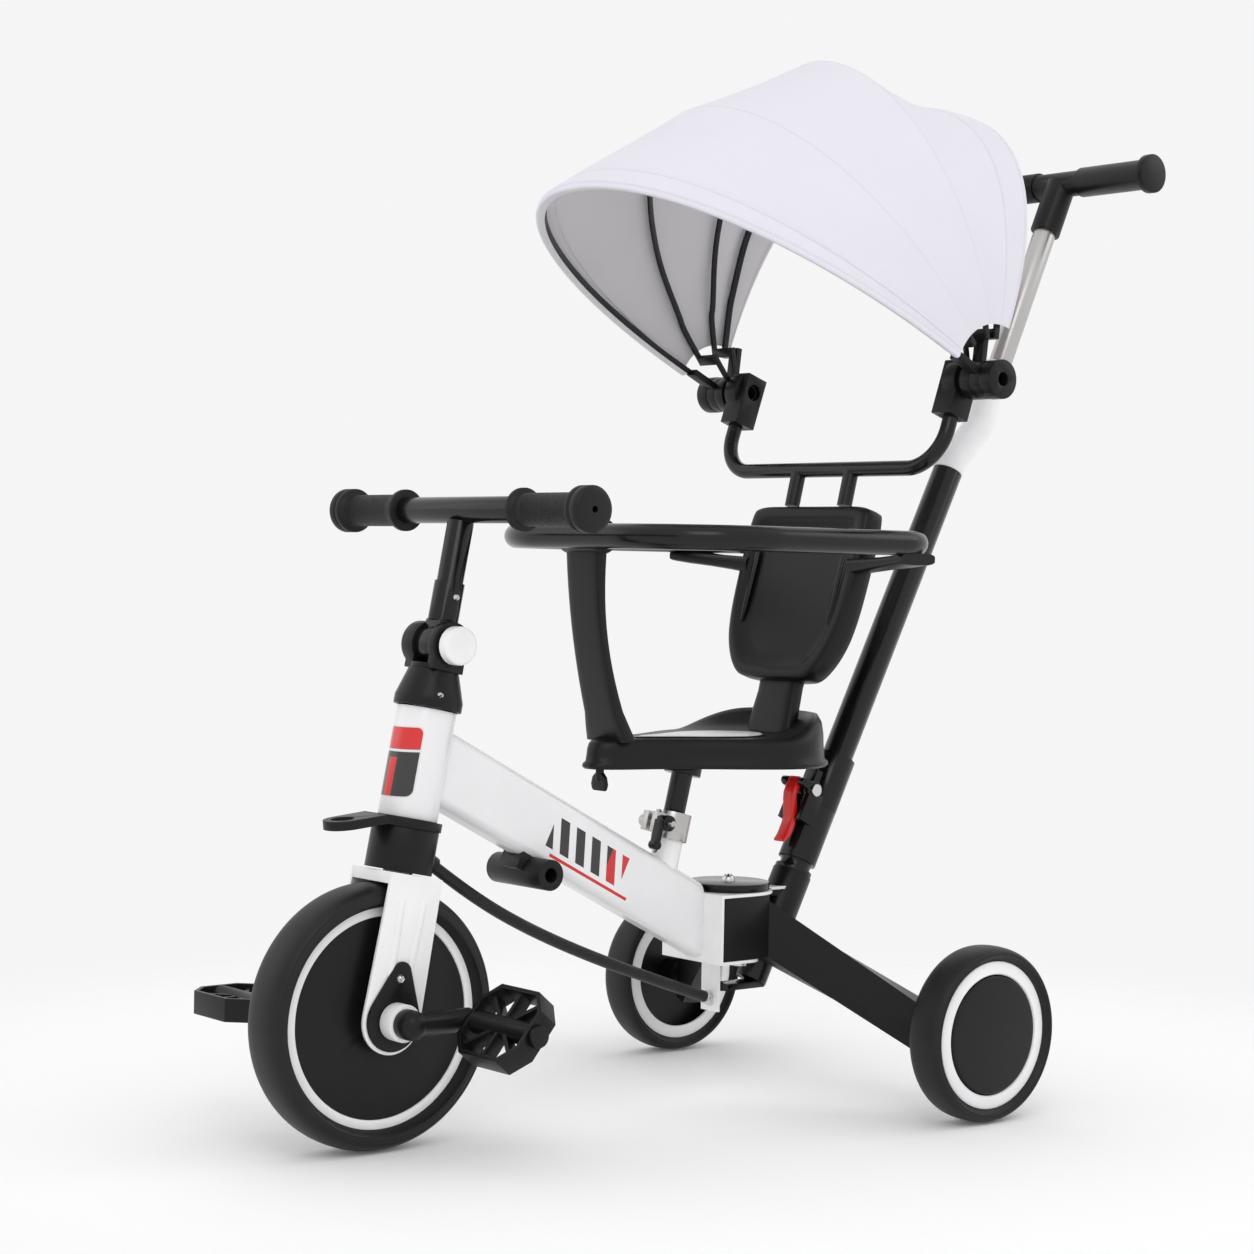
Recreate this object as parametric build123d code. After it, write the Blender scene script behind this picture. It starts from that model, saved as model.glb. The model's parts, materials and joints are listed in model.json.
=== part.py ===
from build123d import *
import os
from math import sin, cos, tan, atan2, radians, degrees, pi, hypot

# Children's tricycle: pedal front wheel, folding rear arms, sliding seat with guard ring,
# folding canopy and a parent push handle that steers the fork through a cable hose.
# Units are millimetres. -Y is forward, +X is the rider's left, +Z is up, Z = 0 is the ground.
os.makedirs("parts", exist_ok=True)

# ---- driving dimensions ----------------------------------------------------
FRONT_TYRE_R = 125.0        # nominal 10 inch front wheel
REAR_TYRE_R = 88.0
WHEELBASE = 575.0
REAR_TRACK = 475.0
RAKE = 11.2                 # head axis leans back, degrees
BEAM_SLOPE = 27.07          # main beam drops to the rear, degrees
SEAT_LEAN = 14.0            # seat tube leans back
PUSH_LEAN = 27.3            # lower push tube leans back
HANDLE_LEAN = 24.6          # upper push tube leans back
PUSH_TOP = 660.0            # height where the black push tube ends
HANDLE_TOP = 996.3          # height of the cross handle's axis
HANDLEBAR_WIDTH = 400.0
HANDLE_WIDTH = 268.0
CANOPY_WIDTH = 424.0

RUN = 0.05                  # radial running clearance, pin in bore
GAP = 0.3                   # gap between bodies that pass each other

# ---- front wheel and fork sizes ---------------------------------------------
TYRE_HALF = 27.0
TYRE_SHOULDER = 13.0        # half width of the tread's flat
RIM_R = 103.6
RIM_HALF = 18.0
TRIM_WIDTH = 9.0
TRIM_PROUD = 1.2
RIM_WALL = 3.0
HUB_R = 15.0
AXLE_R = 6.0
BLADE_IN = 30.0             # inner face of each fork blade from the centre plane
BLADE_T = 3.0
BLADE_END_R = 32.0
BLADE_TOP_HALF = 29.0
CROWN_CLEAR = 4.5           # tyre to crown
CROWN_T = 5.0
COVER_T = 4.0
COVER_R = 29.0
COVER_TOP_R = 10.0
COVER_TOP_S = 45.0
SLEEVE_R = 17.5             # white pedal-release sleeve
SLEEVE_LEN = 17.0
CRANK_R = 14.0
CRANK_TIP_R = 11.0
CRANK_LEN = 62.0
SPINDLE_R = 7.0
PEDAL_LEN = 92.0
PEDAL_WIDTH = 76.0
PEDAL_H = 22.0
PEDAL_WALL = 4.0
PEDAL_TUBE_R = 11.0
PEDAL_TILT = 50.0           # left pedal hangs turned by this much

# ---- head sizes, measured along the head axis from the front axle -------------
COLLAR_R = 32.0
COLLAR_LEN = 41.0
COLLAR_WALL = 4.0
SWITCH_R = 33.5
SWITCH_T = 8.5
SWITCH_REACH = 88.0
SWITCH_WIDTH = 40.0
SWITCH_DROP = 6.0
HEAD_TUBE_R = 28.5
HEAD_TUBE_WALL = 3.0
HEAD_TUBE_LEN = 104.0
STEERER_R = 14.0
COVER_LEN = 36.0
COVER_LOW_R = 32.5
COVER_HIGH_R = 24.0
BEARING_H = 12.0
BARREL_R = 22.0
BARREL_RIGHT = 30.0
BARREL_LEFT = 22.0
EYE_R = 19.0
EYE_HALF = 12.0
BARREL_RISE = 20.0          # barrel axis above the bearing cover's base ring
TILT_PIN_R = 6.0
BUTTON_R = 18.3
BUTTON_TRAVEL = 4.0
BUTTON_LEN = 12.0
BUTTON_DOME = 4.0
STEM_SLEEVE_R = 14.5
STEM_SLEEVE_TOP = 60.0      # above the barrel axis
STEM_R = 12.7
BAR_RISE = 130.5            # handlebar axis above the barrel axis
BAR_R = 12.7
GRIP_R = 15.0
GRIP_LEN = 108.0
GRIP_FLANGE_R = 21.3
GRIP_FLANGE_T = 6.0

# ---- frame sizes --------------------------------------------------------------
BEAM_H = 69.0
BEAM_W = 36.0
BEAM_ROUND = 11.0
BEAM_WALL = 2.0
BEAM_AT = 284.3             # a point on the beam axis, behind the axle
BEAM_AT_Z = 244.0
HOUSING_HALF = 46.0
HOUSING_LOW = 148.0
HOUSING_GAP = 65.0
PLATE_T = 3.0
HOUSING_FRONT = 394.0
HOUSING_CENTRE = 443.0      # centre of the round cover, behind the front axle
COVER_DISC_R = 43.0
TONGUE_HALF = 15.0          # half width of the top plate where it reaches the push socket
PIN_PLATE_R = 20.0
COVER_DISC_T = 8.0
ARM_PIN_X = 26.0
ARM_PIN_R = 5.0
ARM_PIN_BACK = 436.0
ARM_T = 28.0
KNUCKLE_LEN = 52.0
ARM_END_H = 50.0
STUB_R = 6.0
REAR_RIM_R = 74.0
REAR_TRIM_WIDTH = 14.0
REAR_HALF = 20.0
REAR_RIM_HALF = 14.0
REAR_HUB_R = 14.0

# ---- seat sizes ---------------------------------------------------------------
SEAT_AXIS_BACK = 376.4      # a point on the seat tube's axis, behind the axle
SEAT_AXIS_Z = 337.4
SEAT_TUBE_R = 15.0
SEAT_TUBE_LOW = 197.0
POST_LOW = 226.0
POST_R = 11.0
POST_WALL = 1.5
CLAMP_R = 18.5
CLAMP_H = 28.0
CLAMP_LOW = 271.0
SADDLE_LEN = 290.0
SADDLE_HALF = 100.0
NOSE_R = 36.0
SADDLE_H = 30.0
SADDLE_WALL = 5.0
LIP_H = 24.0                # the seat cup rises at the rear, both sides of the backrest
SADDLE_LOW = 346.0
SADDLE_FRONT = 250.0
BACK_W = 178.0
BACK_H = 190.0
BACK_T = 22.0
BACK_LEAN = 16.7
RING_HALF = 185.0
RING_TUBE_R = 12.5
RING_Z = 577.0
RING_FRONT = 233.0
RING_REAR = 560.0
STRAP_W = 50.0
STRAP_T = 8.0
UBAR_HALF = 163.8
UBAR_R = 8.0
UBAR_BACK = 569.0
UBAR_LOW = 655.0
HUB_BACK = 599.7
HUB_Z = 744.1
UBAR_BEND = 42.0
UPOST_HALF = 40.0

# ---- canopy sizes ---------------------------------------------------------------
HUB_PIN_R = 9.0
HUB_BORE_R = 7.0
HUB_R = 21.0
CLAMP_HALF = 15.0
RIB_T = 3.0
RIB_WIDTHS = {"front": 7.0, "second": 6.0, "third": 6.0, "rear": 7.0}
RIB_ANGLES = {"front": 25.1, "second": 51.0, "third": 79.7, "rear": 97.0}
RIB_REACH = {"front": 419.5, "second": 350.0, "third": 345.0, "rear": 303.0}
RIB_POWERS = {"front": 2.14, "second": 1.95, "third": 1.85, "rear": 2.6}   # 2 is an ellipse
RIB_START = 46.0
CLOTH_DIP = 7.0             # the cloth sinks between two ribs
CLOTH_T = 2.0
FLAP_ANGLE = 13.0           # cloth behind the rear rib
FLAP_REACH = 320.0
FLAP_POWER = 2.3

# ---- push handle sizes ------------------------------------------------------------
SOCKET_R = 21.0
PUSH_R = 16.5
TUBE_WALL = 1.6
PUSH_AT = 528.1             # a point on the lower push tube's axis, behind the axle
PUSH_AT_Z = 216.6
FOLD_SLEEVE_R = 20.5
FOLD_Z = 303.0
FOLD_OFFSET = 27.0
FOLD_PIN_R = 4.0
FOLD_EYE_R = 9.5
EAR_IN = 9.3
EAR_OUT = 17.0
LATCH_PIN_R = 2.0
FOOT_Z = 118.0
LEVER_LEN = 38.0
SLEEVE_LOW_LEN = 62.0
SLEEVE_HIGH_LEN = 60.0
OFFSET_SLEEVE_R = 17.0
OFFSET_STEP = 24.0
INNER_R = 13.0
HANDLE_R = 14.5
HANDLE_GRIP_R = 16.8
HANDLE_CAP_R = 21.5

# ---- frame placement: the origin is under the middle of the whole tricycle ----------
push_dir = Vector(0, sin(radians(PUSH_LEAN)), cos(radians(PUSH_LEAN)))
handle_dir = Vector(0, sin(radians(HANDLE_LEAN)), cos(radians(HANDLE_LEAN)))
push_top_back = PUSH_AT + (PUSH_TOP - PUSH_AT_Z) * tan(radians(PUSH_LEAN))
handle_back = push_top_back + OFFSET_STEP + (HANDLE_TOP - PUSH_TOP) * tan(radians(HANDLE_LEAN))
total_length = FRONT_TYRE_R + handle_back + HANDLE_CAP_R
AXLE_Y = FRONT_TYRE_R - total_length / 2


def back(distance):
    # a place given as its distance behind the front axle
    return AXLE_Y + distance


HEAD = Plane(origin=(0, AXLE_Y, FRONT_TYRE_R), x_dir=(1, 0, 0), z_dir=(0, sin(radians(RAKE)), cos(radians(RAKE))))
CROWN_S = FRONT_TYRE_R + CROWN_CLEAR
COLLAR_S = CROWN_S + CROWN_T + 1.5
SWITCH_S = COLLAR_S + COLLAR_LEN + GAP
HEAD_S = SWITCH_S + SWITCH_T + GAP
COVER_S = HEAD_S + HEAD_TUBE_LEN + 1.0
BARREL_S = COVER_S + COVER_LEN + BARREL_RISE + 5.0
BAR_S = BARREL_S + BAR_RISE


# ---- small helpers ---------------------------------------------------------------
def rod(plane, start, end, radius):
    bottom = (Align.CENTER, Align.CENTER, Align.MIN)
    return plane * Pos(0, 0, start) * Cylinder(radius, end - start, align=bottom)


def pipe(plane, start, end, outer, inner):
    return rod(plane, start, end, outer) - rod(plane, start - 1, end + 1, inner)


def block(plane, x0, x1, y0, y1, z0, z1):
    low = (Align.MIN, Align.MIN, Align.MIN)
    return plane * Pos(x0, y0, z0) * Box(x1 - x0, y1 - y0, z1 - z0, align=low)


def lathe(plane, edges):
    # edges are drawn as (radius, 0, height) and turned about the plane's axis
    return plane * revolve(make_face(edges), Axis.Z, 360)


def turned(plane, outline):
    points = [(r, 0, z) for r, z in outline]
    return lathe(plane, Polyline(*points, close=True).edges())


def axis_plane(origin, direction):
    side = (1, 0, 0) if abs(Vector(direction).normalized().X) < 0.9 else (0, 0, 1)
    return Plane(origin=origin, x_dir=side, z_dir=direction)


def across(y, z, x=0.0):
    # a plane whose axis runs along +X through (y, z)
    return Plane(origin=(x, y, z), x_dir=(0, 1, 0), z_dir=(1, 0, 0))


def bar(start, end, radius):
    start, end = Vector(*start), Vector(*end)
    return rod(axis_plane(start, end - start), 0, (end - start).length, radius)


def bent_tube(points, radii, outer, inner=0.0):
    path = FilletPolyline(*points, radius=radii)
    start = Plane(origin=path @ 0, z_dir=path % 0)
    solid = sweep(start * Circle(outer), path=path)
    if inner:
        solid = solid - sweep(start * Circle(inner), path=path)
    return solid


def save(name, *shapes):
    solids = [s for shape in shapes for s in shape.solids()]
    shape = solids[0] if len(solids) == 1 else Compound(children=solids)
    export_step(shape, "parts/" + name + ".step")
    print(name, len(solids), round(sum(s.volume for s in solids)))


def both_sides(shape):
    return shape, mirror(shape, about=Plane.YZ)


# ---- front wheel --------------------------------------------------------------------
FRONT_AXLE = across(AXLE_Y, FRONT_TYRE_R)


def tyre(plane, radius, rim_radius, rim_half, half, shoulder):
    side = (radius + rim_radius) / 2 + 1
    edges = [
        Line((rim_radius, 0, -rim_half), (rim_radius, 0, rim_half)),
        ThreePointArc((rim_radius, 0, rim_half), (side, 0, half), (radius - 2, 0, shoulder + 4)),
        Line((radius - 2, 0, shoulder + 4), (radius, 0, shoulder)),
        Line((radius, 0, shoulder), (radius, 0, -shoulder)),
        Line((radius, 0, -shoulder), (radius - 2, 0, -shoulder - 4)),
        ThreePointArc((radius - 2, 0, -shoulder - 4), (side, 0, -half), (rim_radius, 0, -rim_half)),
    ]
    return lathe(plane, edges)


def front_rim_half(side):
    face = RIM_HALF - 2.0
    trim_in = RIM_R - TRIM_WIDTH
    outline = [(AXLE_R + RUN, 0), (HUB_R, 0), (HUB_R, face - RIM_WALL), (trim_in - RIM_WALL, face - RIM_WALL)]
    outline += [(trim_in - RIM_WALL, 0), (RIM_R - GAP / 3, 0), (RIM_R - GAP / 3, face - 1.5)]
    outline += [(trim_in, face - 1.5), (trim_in, face), (AXLE_R + RUN, face)]
    return turned(FRONT_AXLE, [(r, side * z) for r, z in outline])


def front_trim_ring(side):
    face = RIM_HALF - 3.5 + GAP / 3
    proud = face + TRIM_PROUD + 1.5
    trim_in = RIM_R - TRIM_WIDTH + GAP / 3
    outline = [(trim_in, face), (RIM_R - GAP / 2, face), (RIM_R - GAP / 2, proud), (trim_in + 1, proud)]
    outline += [(trim_in, proud - 1)]
    return turned(FRONT_AXLE, [(r, side * z) for r, z in outline])


CRANK_X = BLADE_IN + BLADE_T + COVER_T + 1.0 + SLEEVE_LEN + CRANK_R - 4.0
SLEEVE_X = BLADE_IN + BLADE_T + COVER_T + 1.0
PEDAL_X = CRANK_X + CRANK_TIP_R + 3.0


def crank():
    # the left crank: a socket over the axle, an arm to the rear and the pedal's spindle
    hub_end = SLEEVE_X + SLEEVE_LEN + GAP / 3
    stub = rod(FRONT_AXLE, hub_end, CRANK_X, CRANK_R)
    arm_plane = Plane(origin=(CRANK_X, AXLE_Y, FRONT_TYRE_R), x_dir=(1, 0, 0), z_dir=(0, 1, 0))
    arm = rod(arm_plane, 0, CRANK_LEN, CRANK_TIP_R)
    tip = (CRANK_X, AXLE_Y + CRANK_LEN, FRONT_TYRE_R)
    ends = Pos(CRANK_X, AXLE_Y, FRONT_TYRE_R) * Sphere(CRANK_R) + Pos(*tip) * Sphere(CRANK_TIP_R)
    spindle_axis = across(AXLE_Y + CRANK_LEN, FRONT_TYRE_R)
    spindle = rod(spindle_axis, CRANK_X, PEDAL_X + PEDAL_LEN + 4, SPINDLE_R)
    head = rod(spindle_axis, PEDAL_X + PEDAL_LEN + GAP, PEDAL_X + PEDAL_LEN + 5, SPINDLE_R + 3)
    socket = rod(FRONT_AXLE, 0, SLEEVE_X + SLEEVE_LEN + 8, AXLE_R)
    collar_space = rod(FRONT_AXLE, 0, hub_end, SLEEVE_R + 3)
    return stub + arm + ends + spindle + head - socket - collar_space


def half_turn(shape):
    # turns a piece half round about the upright line through the front axle's middle
    return Pos(0, AXLE_Y, 0) * Rot(0, 0, 180) * Pos(0, -AXLE_Y, 0) * shape


def pedal(side, tilt):
    # a cage with two long sides, bevelled ends, a spindle tube and diagonal ribs
    centre = Vector(side * (PEDAL_X + PEDAL_LEN / 2), AXLE_Y + side * CRANK_LEN, FRONT_TYRE_R)
    half, wide, cut = PEDAL_LEN / 2, PEDAL_WIDTH / 2, 18.0
    corners = [(-half, -wide + cut), (-half + cut, -wide), (half - cut, -wide), (half, -wide + cut)]
    corners += [(half, wide - cut), (half - cut, wide), (-half + cut, wide), (-half, wide - cut)]
    outline = make_face(Polyline(*corners, close=True).edges())
    cage = extrude(outline, PEDAL_H / 2, both=True)
    inner = offset(outline, amount=-PEDAL_WALL)
    cage = cage - extrude(inner, PEDAL_H, both=True)
    ribs = Box(PEDAL_WALL, PEDAL_WIDTH - PEDAL_WALL, PEDAL_H - 8)
    diagonal = degrees(atan2(PEDAL_WIDTH - cut, PEDAL_LEN - cut))
    reach = hypot(PEDAL_WIDTH - cut, PEDAL_LEN - cut)
    for turn in (diagonal, -diagonal):
        ribs += Rot(0, 0, turn) * Box(reach, PEDAL_WALL, PEDAL_H - 8)
    tube = Rot(0, 90, 0) * Cylinder(PEDAL_TUBE_R, PEDAL_LEN)
    cage = cage + (ribs & extrude(outline, PEDAL_H, both=True)) + tube
    cage = cage - Rot(0, 90, 0) * Cylinder(SPINDLE_R + RUN, PEDAL_LEN + 10)
    return Pos(*centre) * Rot(tilt, 0, 0) * cage


def axle_cover(side):
    profile = Circle(COVER_R) + Pos(0, COVER_TOP_S) * Circle(COVER_TOP_R)
    profile = make_hull(profile.edges())
    # local x runs rearward and local y up the head axis
    up = (0, sin(radians(RAKE)), cos(radians(RAKE)))
    rear = (0, cos(radians(RAKE)), -sin(radians(RAKE)))
    inner = BLADE_IN + BLADE_T + 0.1
    plane = Plane(origin=(side * inner, AXLE_Y, FRONT_TYRE_R), x_dir=rear, z_dir=(side, 0, 0))
    lift = plane.to_local_coords(Vector(side * inner, AXLE_Y, FRONT_TYRE_R) + Vector(*up))
    profile = profile if lift.Y > 0 else mirror(profile, about=Plane.XZ)
    cover = plane * extrude(profile, COVER_T - 0.1)
    return cover - rod(plane, -1, COVER_T + 1, AXLE_R + 3)


def fork():
    body = block(HEAD, -BLADE_IN - BLADE_T, BLADE_IN + BLADE_T, -BLADE_TOP_HALF, BLADE_TOP_HALF, CROWN_S, CROWN_S + CROWN_T)
    for side in (-1, 1):
        x0 = side * BLADE_IN
        outline = [(x0, -BLADE_TOP_HALF, CROWN_S + CROWN_T), (x0, BLADE_TOP_HALF, CROWN_S + CROWN_T)]
        outline += [(x0, BLADE_END_R, 0), (x0, -BLADE_END_R, 0)]
        plate = extrude(make_face(Polyline(*outline, close=True).edges()), BLADE_T, dir=(side, 0, 0))
        tip = rod(Plane(origin=(x0, 0, 0), x_dir=(0, 1, 0), z_dir=(side, 0, 0)), 0, BLADE_T, BLADE_END_R)
        hole = rod(Plane(origin=(x0, 0, 0), x_dir=(0, 1, 0), z_dir=(side, 0, 0)), -1, BLADE_T + 1, AXLE_R + RUN)
        body = body + HEAD * (plate + tip - hole)
    gusset = block(HEAD, -BLADE_IN, BLADE_IN, -BLADE_TOP_HALF, -BLADE_TOP_HALF + 3, CROWN_S - 6, CROWN_S + 1)
    body = body + gusset + mirror(gusset, about=Plane(HEAD.origin, x_dir=(1, 0, 0), z_dir=HEAD.y_dir))
    steerer = pipe(HEAD, CROWN_S + 1, BARREL_S - BARREL_RISE - 5, STEERER_R, STEERER_R - 2)
    return body + steerer


def front_end():
    save("front_tyre", tyre(FRONT_AXLE, FRONT_TYRE_R, RIM_R, RIM_HALF, TYRE_HALF, TYRE_SHOULDER))
    save("front_rim", front_rim_half(1), front_rim_half(-1))
    save("front_trim", front_trim_ring(1), front_trim_ring(-1))
    axle_half = SLEEVE_X + SLEEVE_LEN + 7
    save("front_axle", rod(FRONT_AXLE, -axle_half, axle_half, AXLE_R - 0.01))
    save("cranks", crank(), half_turn(crank()))
    sleeve = pipe(FRONT_AXLE, SLEEVE_X, SLEEVE_X + SLEEVE_LEN, SLEEVE_R, AXLE_R + RUN)
    save("crank_collars", *both_sides(sleeve))
    save("pedal_left", pedal(1, PEDAL_TILT))
    save("pedal_right", pedal(-1, 0))
    save("axle_covers", axle_cover(1), axle_cover(-1))
    save("fork", fork())


# ---- head -----------------------------------------------------------------------------
def steering_head():
    collar_top = COLLAR_S + COLLAR_LEN
    shell = pipe(HEAD, COLLAR_S, collar_top, COLLAR_R, COLLAR_R - COLLAR_WALL)
    lid = pipe(HEAD, collar_top - COLLAR_WALL, collar_top, COLLAR_R - 1, STEERER_R + 5)
    port = rod(HOSE_START, -8, 12, 9.0) - rod(HEAD, COLLAR_S - 5, collar_top + 5, COLLAR_R - 1)
    neck = pipe(HEAD, collar_top - COLLAR_WALL, HEAD_S + 6, STEERER_R + 5, STEERER_R + 1.5)
    collar = shell + lid + port + neck - rod(HOSE_START, -30, 12.2, HOSE_R + 0.1)
    save("steering_collar", collar)
    pulley = turned(HEAD, [(STEERER_R + 0.02, COLLAR_S + 8), (25, COLLAR_S + 8), (25, COLLAR_S + 12), (21, COLLAR_S + 15),
                           (25, COLLAR_S + 18), (25, COLLAR_S + 24), (STEERER_R + 0.02, COLLAR_S + 24)])
    save("cable_pulley", pulley)
    ring = pipe(HEAD, SWITCH_S, SWITCH_S + SWITCH_T, SWITCH_R, STEERER_R + 5 + RUN)
    ledge = block(HEAD, -SWITCH_WIDTH / 2, SWITCH_WIDTH / 2, -SWITCH_R - 3, -SWITCH_R + 10, SWITCH_S, SWITCH_S + SWITCH_T)
    # the tongue bends down in front of the ring until it lies level
    bend = Plane(origin=HEAD.from_local_coords((0, -SWITCH_R - 1, SWITCH_S)), x_dir=(1, 0, 0), z_dir=(0, sin(radians(-SWITCH_DROP)), cos(radians(-SWITCH_DROP))))
    reach = SWITCH_REACH - SWITCH_R - SWITCH_WIDTH / 2
    tongue = block(bend, -SWITCH_WIDTH / 2, SWITCH_WIDTH / 2, -reach, 0, 0, SWITCH_T)
    tongue += rod(bend * Pos(0, -reach, 0), 0, SWITCH_T, SWITCH_WIDTH / 2)
    tongue -= rod(bend * Pos(0, -reach - 2, 0), -1, SWITCH_T + 1, 11)
    save("steering_switch", ring + ledge + tongue)
    inner = HEAD_TUBE_R - HEAD_TUBE_WALL
    head = pipe(HEAD, HEAD_S, HEAD_S + HEAD_TUBE_LEN, HEAD_TUBE_R, inner)
    save("head_tube", head)
    low = pipe(HEAD, HEAD_S + 7, HEAD_S + 7 + BEARING_H, inner - 0.02, STEERER_R + RUN)
    high_s = HEAD_S + HEAD_TUBE_LEN - 2 - BEARING_H
    high = pipe(HEAD, high_s, high_s + BEARING_H, inner - 0.02, STEERER_R + RUN)
    save("headset_bearings", low, high)
    top = COVER_S + COVER_LEN
    cover = turned(HEAD, [(STEERER_R + 0.02, COVER_S + 4), (COVER_LOW_R - 3, COVER_S + 4), (COVER_LOW_R - 3, COVER_S),
                          (COVER_LOW_R, COVER_S), (COVER_LOW_R, COVER_S + 9), (COVER_HIGH_R, top), (STEERER_R + 0.02, top)])
    save("headset_cover", cover)
    save("stem_knuckle", stem_knuckle())


BARREL = HEAD * Plane(origin=(0, 0, BARREL_S), x_dir=(0, 1, 0), z_dir=(1, 0, 0))


def stem_knuckle():
    base_low = COVER_S + COVER_LEN + GAP / 3
    base = rod(HEAD, base_low, BARREL_S - EYE_R - 1.0, COVER_HIGH_R - 1.5)
    body = base
    for x0, x1 in ((-BARREL_RIGHT, -EYE_HALF - GAP), (EYE_HALF + GAP, BARREL_LEFT)):
        ear = rod(BARREL, x0, x1, BARREL_R)
        foot = block(HEAD, x0, x1, -BARREL_R * 0.8, BARREL_R * 0.8, base_low, BARREL_S)
        body = body + ear + (foot & rod(HEAD, base_low, BARREL_S, BARREL_RIGHT))
    boss = rod(BARREL, BARREL_LEFT - 1, BARREL_LEFT + BUTTON_TRAVEL + 6, BUTTON_R - 4)
    pin = rod(BARREL, -EYE_HALF - 2, EYE_HALF + 2, TILT_PIN_R)
    return body + boss + pin


def handlebar_parts():
    eye = rod(BARREL, -EYE_HALF, EYE_HALF, EYE_R)
    neck = block(HEAD, -EYE_HALF, EYE_HALF, -11, 11, BARREL_S, BARREL_S + BARREL_R + 1)
    sleeve = rod(HEAD, BARREL_S + BARREL_R + 0.6, BARREL_S + STEM_SLEEVE_TOP, STEM_SLEEVE_R)
    post = rod(HEAD, BARREL_S + STEM_SLEEVE_TOP - 1, BAR_S - BAR_R * 0.9, STEM_R)
    bar_plane = HEAD * Plane(origin=(0, 0, BAR_S), x_dir=(0, 1, 0), z_dir=(1, 0, 0))
    bar_space = rod(bar_plane, -40, 40, BAR_R + 0.02)
    stem = (eye + neck + sleeve + post) - rod(BARREL, -EYE_HALF - 1, EYE_HALF + 1, TILT_PIN_R + RUN) - bar_space
    save("stem", stem)
    half = HANDLEBAR_WIDTH / 2
    save("handlebar", pipe(bar_plane, -half + 5, half - 5, BAR_R, BAR_R - 1.6))
    start = half - GRIP_LEN
    inner = BAR_R + 0.02
    outline = [(inner, start), (GRIP_FLANGE_R - 1.5, start), (GRIP_FLANGE_R - 1.5, start + GRIP_FLANGE_T)]
    outline += [(GRIP_R, start + GRIP_FLANGE_T), (GRIP_R, half - 14), (GRIP_FLANGE_R, half - 14)]
    outline += [(GRIP_FLANGE_R, half), (3, half), (3, half - 4), (inner, half - 4)]
    grip = turned(bar_plane, outline)
    save("handlebar_grips", *both_sides(grip))
    rim = BARREL_LEFT + BUTTON_TRAVEL + GAP
    top = rim + BUTTON_LEN
    shoulder = top - BUTTON_DOME
    outline = [(0, top), (0, top - 4), (BUTTON_R - 3.7, top - 4), (BUTTON_R - 3.7, rim), (BUTTON_R, rim), (BUTTON_R, shoulder)]
    edges = Polyline(*[(r, 0, z) for r, z in outline]).edges()
    edges += [ThreePointArc((BUTTON_R, 0, shoulder), (BUTTON_R - 1, 0, top - 1), (BUTTON_R - 4, 0, top))]
    edges += [Line((BUTTON_R - 4, 0, top), (0, 0, top))]
    save("tilt_button", lathe(BARREL, edges))


# ---- main beam, seat tube and rear housing -------------------------------------------------
beam_dir = Vector(0, cos(radians(BEAM_SLOPE)), -sin(radians(BEAM_SLOPE)))
BEAM = Plane(origin=(0, back(BEAM_AT), BEAM_AT_Z), x_dir=(1, 0, 0), z_dir=beam_dir)
seat_dir = Vector(0, sin(radians(SEAT_LEAN)), cos(radians(SEAT_LEAN)))
SEAT_AXIS = Plane(origin=(0, back(SEAT_AXIS_BACK), SEAT_AXIS_Z), x_dir=(1, 0, 0), z_dir=seat_dir)
PUSH = Plane(origin=(0, back(PUSH_AT), PUSH_AT_Z), x_dir=(1, 0, 0), z_dir=push_dir)
HOUSING_HIGH = HOUSING_LOW + HOUSING_GAP


def seat_s(z):
    return (z - SEAT_AXIS_Z) / cos(radians(SEAT_LEAN))


def push_s(z):
    return (z - PUSH_AT_Z) / cos(radians(PUSH_LEAN))


def main_beam():
    length = 520.0
    outer = extrude(RectangleRounded(BEAM_W, BEAM_H, BEAM_ROUND), length, both=True)
    inner = extrude(RectangleRounded(BEAM_W - 2 * BEAM_WALL, BEAM_H - 2 * BEAM_WALL, BEAM_ROUND - BEAM_WALL), length, both=True)
    beam = BEAM * (outer - inner)
    front_cut = rod(HEAD, 0, 600, HEAD_TUBE_R + 0.02)
    rear_cut = block(Plane.XY, -200, 200, back(HOUSING_FRONT) - 0.02, back(HOUSING_FRONT) + 900, -300, 900)
    front_box = block(HEAD, -200, 200, -900, 0, -300, 900)
    beam = beam - front_box - front_cut - rear_cut - rod(SEAT_AXIS, seat_s(SEAT_TUBE_LOW), seat_s(500), SEAT_TUBE_R + 0.02)
    return max(beam.solids(), key=lambda s: s.volume)


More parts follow.
